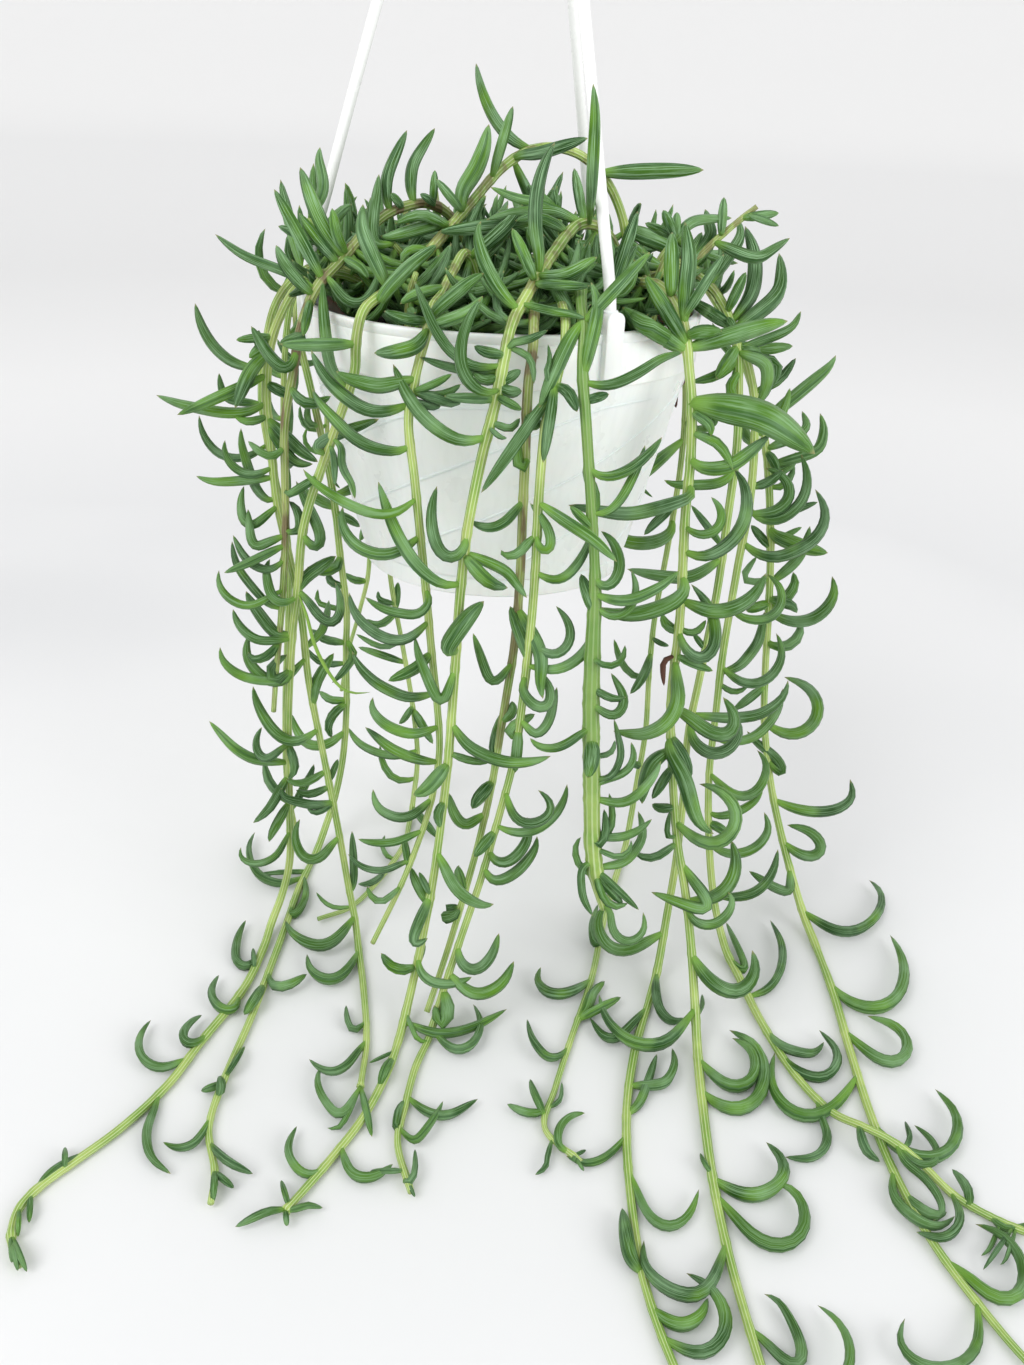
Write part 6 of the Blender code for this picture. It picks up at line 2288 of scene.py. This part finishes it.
def leaf_look():
    look = Look("fishhook_leaf")
    turn, share, tone = place_on_plant(look)
    off = look.sum("FRACT", look.sum("ADD", turn, WINDOW_TURN))
    off = look.sum("ABSOLUTE", look.sum("SUBTRACT", off, 0.5))
    window = look.between(off, *WINDOW_REACH)
    window = look.sum("MULTIPLY", window, look.between(share, *WINDOW_START))
    window = look.sum("MULTIPLY", window, look.between(share, *WINDOW_END))
    grain = look.node("CombineXYZ")
    along = look.sum("MULTIPLY", share, STREAK_STRETCH)
    for value, axis in ((turn, "X"), (along, "Y"), (tone, "Z")):
        look.join(value, grain.inputs[axis])
    streaks = look.patches(source=grain.outputs["Vector"], **BLOOM_STREAKS)
    # painted light: the real bloom streaks are made paler on leaves higher up, over the rim
    height = look.parts(look.place())["Z"]
    above = look.between(height, *[level(mark) for mark in LIT_BLOOM_HEIGHTS], *LIT_BLOOM_SHARES)
    facing = look.node("LayerWeight")
    facing.inputs["Blend"].default_value = 0.5
    colour = look.mix(tone, LEAF_DEEP, LEAF_BRIGHT)
    for cover, over in (
        (look.sum("MULTIPLY", look.patches(**FRESH_PATCHES), FRESH_SHARE), LEAF_FRESH),
        (look.sum("MULTIPLY", streaks, above), LEAF_BLOOM),
        (look.patches(**BLOOM_HAZE), LEAF_BLOOM),
        (look.sum("MULTIPLY", window, WINDOW_SHARE), LEAF_WINDOW),
        (look.between(share, *LEAF_FOOT_REACH), LEAF_FOOT_GREEN),
        (look.between(share, *LEAF_TIP_REACH), LEAF_TIP_YELLOW),
        # painted shade at the leaf's edges, by how far it faces away
        (look.between(facing.outputs["Facing"], *LEAF_EDGE_SHADE_REACH), LEAF_EDGE_PAINTED_SHADE),
        (look.between(tone, *ROOT_REACH), ROOT_BROWN),
        (look.between(tone, *SHOOT_REACH), SHOOT_GREEN),
    ):
        colour = look.mix(cover, colour, over)
    look.colour(colour)
    look.roughness(look.between(streaks, *LEAF_GLOSS))
    look.relief(look.sum("SUBTRACT", streaks, look.sum("MULTIPLY", window, WINDOW_DENT)), *LEAF_RELIEF)
    look.surface(LEAF_SURFACE)
    return look.material


STEM_GREEN = (0.185, 0.345, 0.045)
STEM_YELLOW = (0.41, 0.545, 0.135)
# painted highlight: the crests of the stem's ridges are made paler, as lit lines along it
STEM_CREST_HIGHLIGHT = (0.66, 0.76, 0.44)
STEM_BROWN = (0.16, 0.10, 0.055)
STEM_LEAFY = (0.10, 0.235, 0.045)
STEM_PATCHES = {"reach": (0.3, 0.7), "scale": 55.0, "detail": 3.0}
RIDGE_COUNT = 9.0
CREST_HIGHLIGHT_REACH = (0.2, 0.95, 0.0, 0.62)
STEM_STREAKS = {"reach": (0.45, 0.6), "scale": 260.0, "detail": 3.0, "stretch": (1.0, 1.0, 0.2)}
# how the stem's shade turns into brown all over, brown streaks and a leaf's green
BROWN_REACH = (0.5, 1.0, 0.0, 0.3)
BROWN_STREAK_REACH = (0.0, 1.0, 0.04, 0.85)
LEAFY_REACH = (-0.9, -0.1, 0.7, 0.0)
STEM_GLOSS = {"reach": (0.3, 0.7, 0.4, 0.62), "scale": 120.0}
STEM_RELIEF = (0.4, 0.0003)
STEM_SURFACE = {"Subsurface Weight": 0.08, "Subsurface Scale": 0.002}


def stem_look():
    look = Look("fishhook_stem")
    turn, _, tone = place_on_plant(look)
    ridges = look.sum("SINE", look.sum("MULTIPLY", turn, 2.0 * math.pi * RIDGE_COUNT))
    streaks = look.patches(**STEM_STREAKS)
    brown = look.sum("MULTIPLY", streaks, look.between(tone, *BROWN_STREAK_REACH))
    colour = look.mix(look.patches(**STEM_PATCHES), STEM_GREEN, STEM_YELLOW)
    # painted highlight along the ridge crests
    colour = look.mix(look.between(ridges, *CREST_HIGHLIGHT_REACH), colour, STEM_CREST_HIGHLIGHT)
    colour = look.mix(look.between(tone, *BROWN_REACH), colour, STEM_BROWN)
    colour = look.mix(brown, colour, STEM_BROWN)
    colour = look.mix(look.between(tone, *LEAFY_REACH), colour, STEM_LEAFY)
    look.colour(colour)
    look.roughness(look.patches(**STEM_GLOSS))
    look.relief(look.sum("ADD", ridges, streaks), *STEM_RELIEF)
    look.surface(STEM_SURFACE)
    return look.material


# Studio

STUDIO_RADIUS = 2200.0
STUDIO_BEND = 1200.0
STUDIO_HEIGHT = 1400.0
STUDIO_SIDES = 96
STUDIO_ANGLES = range(90, -1, -10)
STUDIO_SMOOTH_ANGLE = 60.0
FLOOR_PAINTED_SHADE_WHITE = (0.735, 0.74, 0.75)
PAINTED_LIGHT_WHITE = (0.93, 0.93, 0.93)
# painted light and shade on the studio: the floor is darker round the plant and paler up its wall and far out
# from it, with painted shading of broad soft folds, in metres
PAINTED_LIGHT_RISE = 0.3
PAINTED_FOLD_SHADING = {"reach": (0.3, 0.7, 0.0, 0.35), "scale": 2.2}
PAINTED_LIGHT_OUT = (0.35, 1.25, 0.0, 0.75)
STUDIO_SURFACE = {"Roughness": 0.9, "Specular IOR Level": 0.1}

# Lights: where they stand, how wide they are and their power, in metres and watts
LIGHT_AIM = (0.0, 0.0, -0.3)
KEY_LIGHT = ((-1.0, -1.2, 1.1), 1.4, 20.5)
FILL_LIGHT = ((1.3, -1.1, 0.3), 1.2, 13.0)
SKY_STRENGTH = 0.82


def studio_look():
    look = Look("studio_white")
    place = look.parts(look.place())
    rise = look.between(place["Z"], level(FLOOR), level(FLOOR) + PAINTED_LIGHT_RISE)
    across = look.node("CombineXYZ")
    for axis in ("X", "Y"):
        look.join(place[axis], across.inputs[axis])
    out = look.node("VectorMath", operation="LENGTH")
    look.join(across.outputs["Vector"], out.inputs[0])
    far = look.between(out.outputs["Value"], *PAINTED_LIGHT_OUT)
    # painted light and shade: the wall, the far floor and the folds' patches are made paler than the floor
    # round the plant
    painted_light = look.sum("MAXIMUM", look.sum("MAXIMUM", rise, look.patches(**PAINTED_FOLD_SHADING)), far)
    look.colour(look.mix(painted_light, FLOOR_PAINTED_SHADE_WHITE, PAINTED_LIGHT_WHITE))
    look.surface(STUDIO_SURFACE)
    return look.material


def make_studio():
    """A white floor that curves up into a wall all round."""
    bends = [(math.sin(turn), 1.0 - math.cos(turn)) for turn in np.radians(STUDIO_ANGLES)]
    outline = [(STUDIO_RADIUS + STUDIO_BEND, FLOOR + STUDIO_HEIGHT)]
    outline += [(STUDIO_RADIUS + STUDIO_BEND * out, FLOOR + STUDIO_BEND * up) for out, up in bends]
    studio = drawn_up("studio", outline, STUDIO_SIDES, studio_look())
    lid = max(studio.data.polygons, key=lambda face: face.center.z).index
    pick_up([studio])
    bpy.ops.object.mode_set(mode="EDIT")
    bpy.ops.mesh.select_mode(type="FACE")
    bpy.ops.mesh.select_all(action="DESELECT")
    bpy.ops.object.mode_set(mode="OBJECT")
    studio.data.polygons[lid].select = True
    bpy.ops.object.mode_set(mode="EDIT")
    bpy.ops.mesh.delete(type="FACE")
    bpy.ops.mesh.select_mode(type="VERT")
    bpy.ops.object.mode_set(mode="OBJECT")
    settle(studio, STUDIO_SMOOTH_ANGLE)


def soft_light(name, place, size, power):
    """A round lamp that shines at the plant."""
    data = bpy.data.lights.new(name, "AREA")
    data.shape = "DISK"
    data.size = size
    data.energy = power
    light = added(name, data)
    light.location = place
    light.rotation_euler = (Vector(LIGHT_AIM) - Vector(place)).to_track_quat("-Z", "Y").to_euler()


def make_light():
    sky = bpy.data.worlds.new("studio_light")
    sky.use_nodes = True
    background = sky.node_tree.nodes["Background"]
    background.inputs["Color"].default_value = (1.0, 1.0, 1.0, 1.0)
    background.inputs["Strength"].default_value = SKY_STRENGTH
    bpy.context.scene.world = sky
    soft_light("key", *KEY_LIGHT)
    soft_light("fill", *FILL_LIGHT)
    bpy.context.scene.view_settings.view_transform = "Standard"


make_camera()
make_light()
make_studio()
make_pot(pot_look())
make_hanger(hanger_look())
make_soil(soil_look())
make_stems((stem_look(), leaf_look()))
put_down()
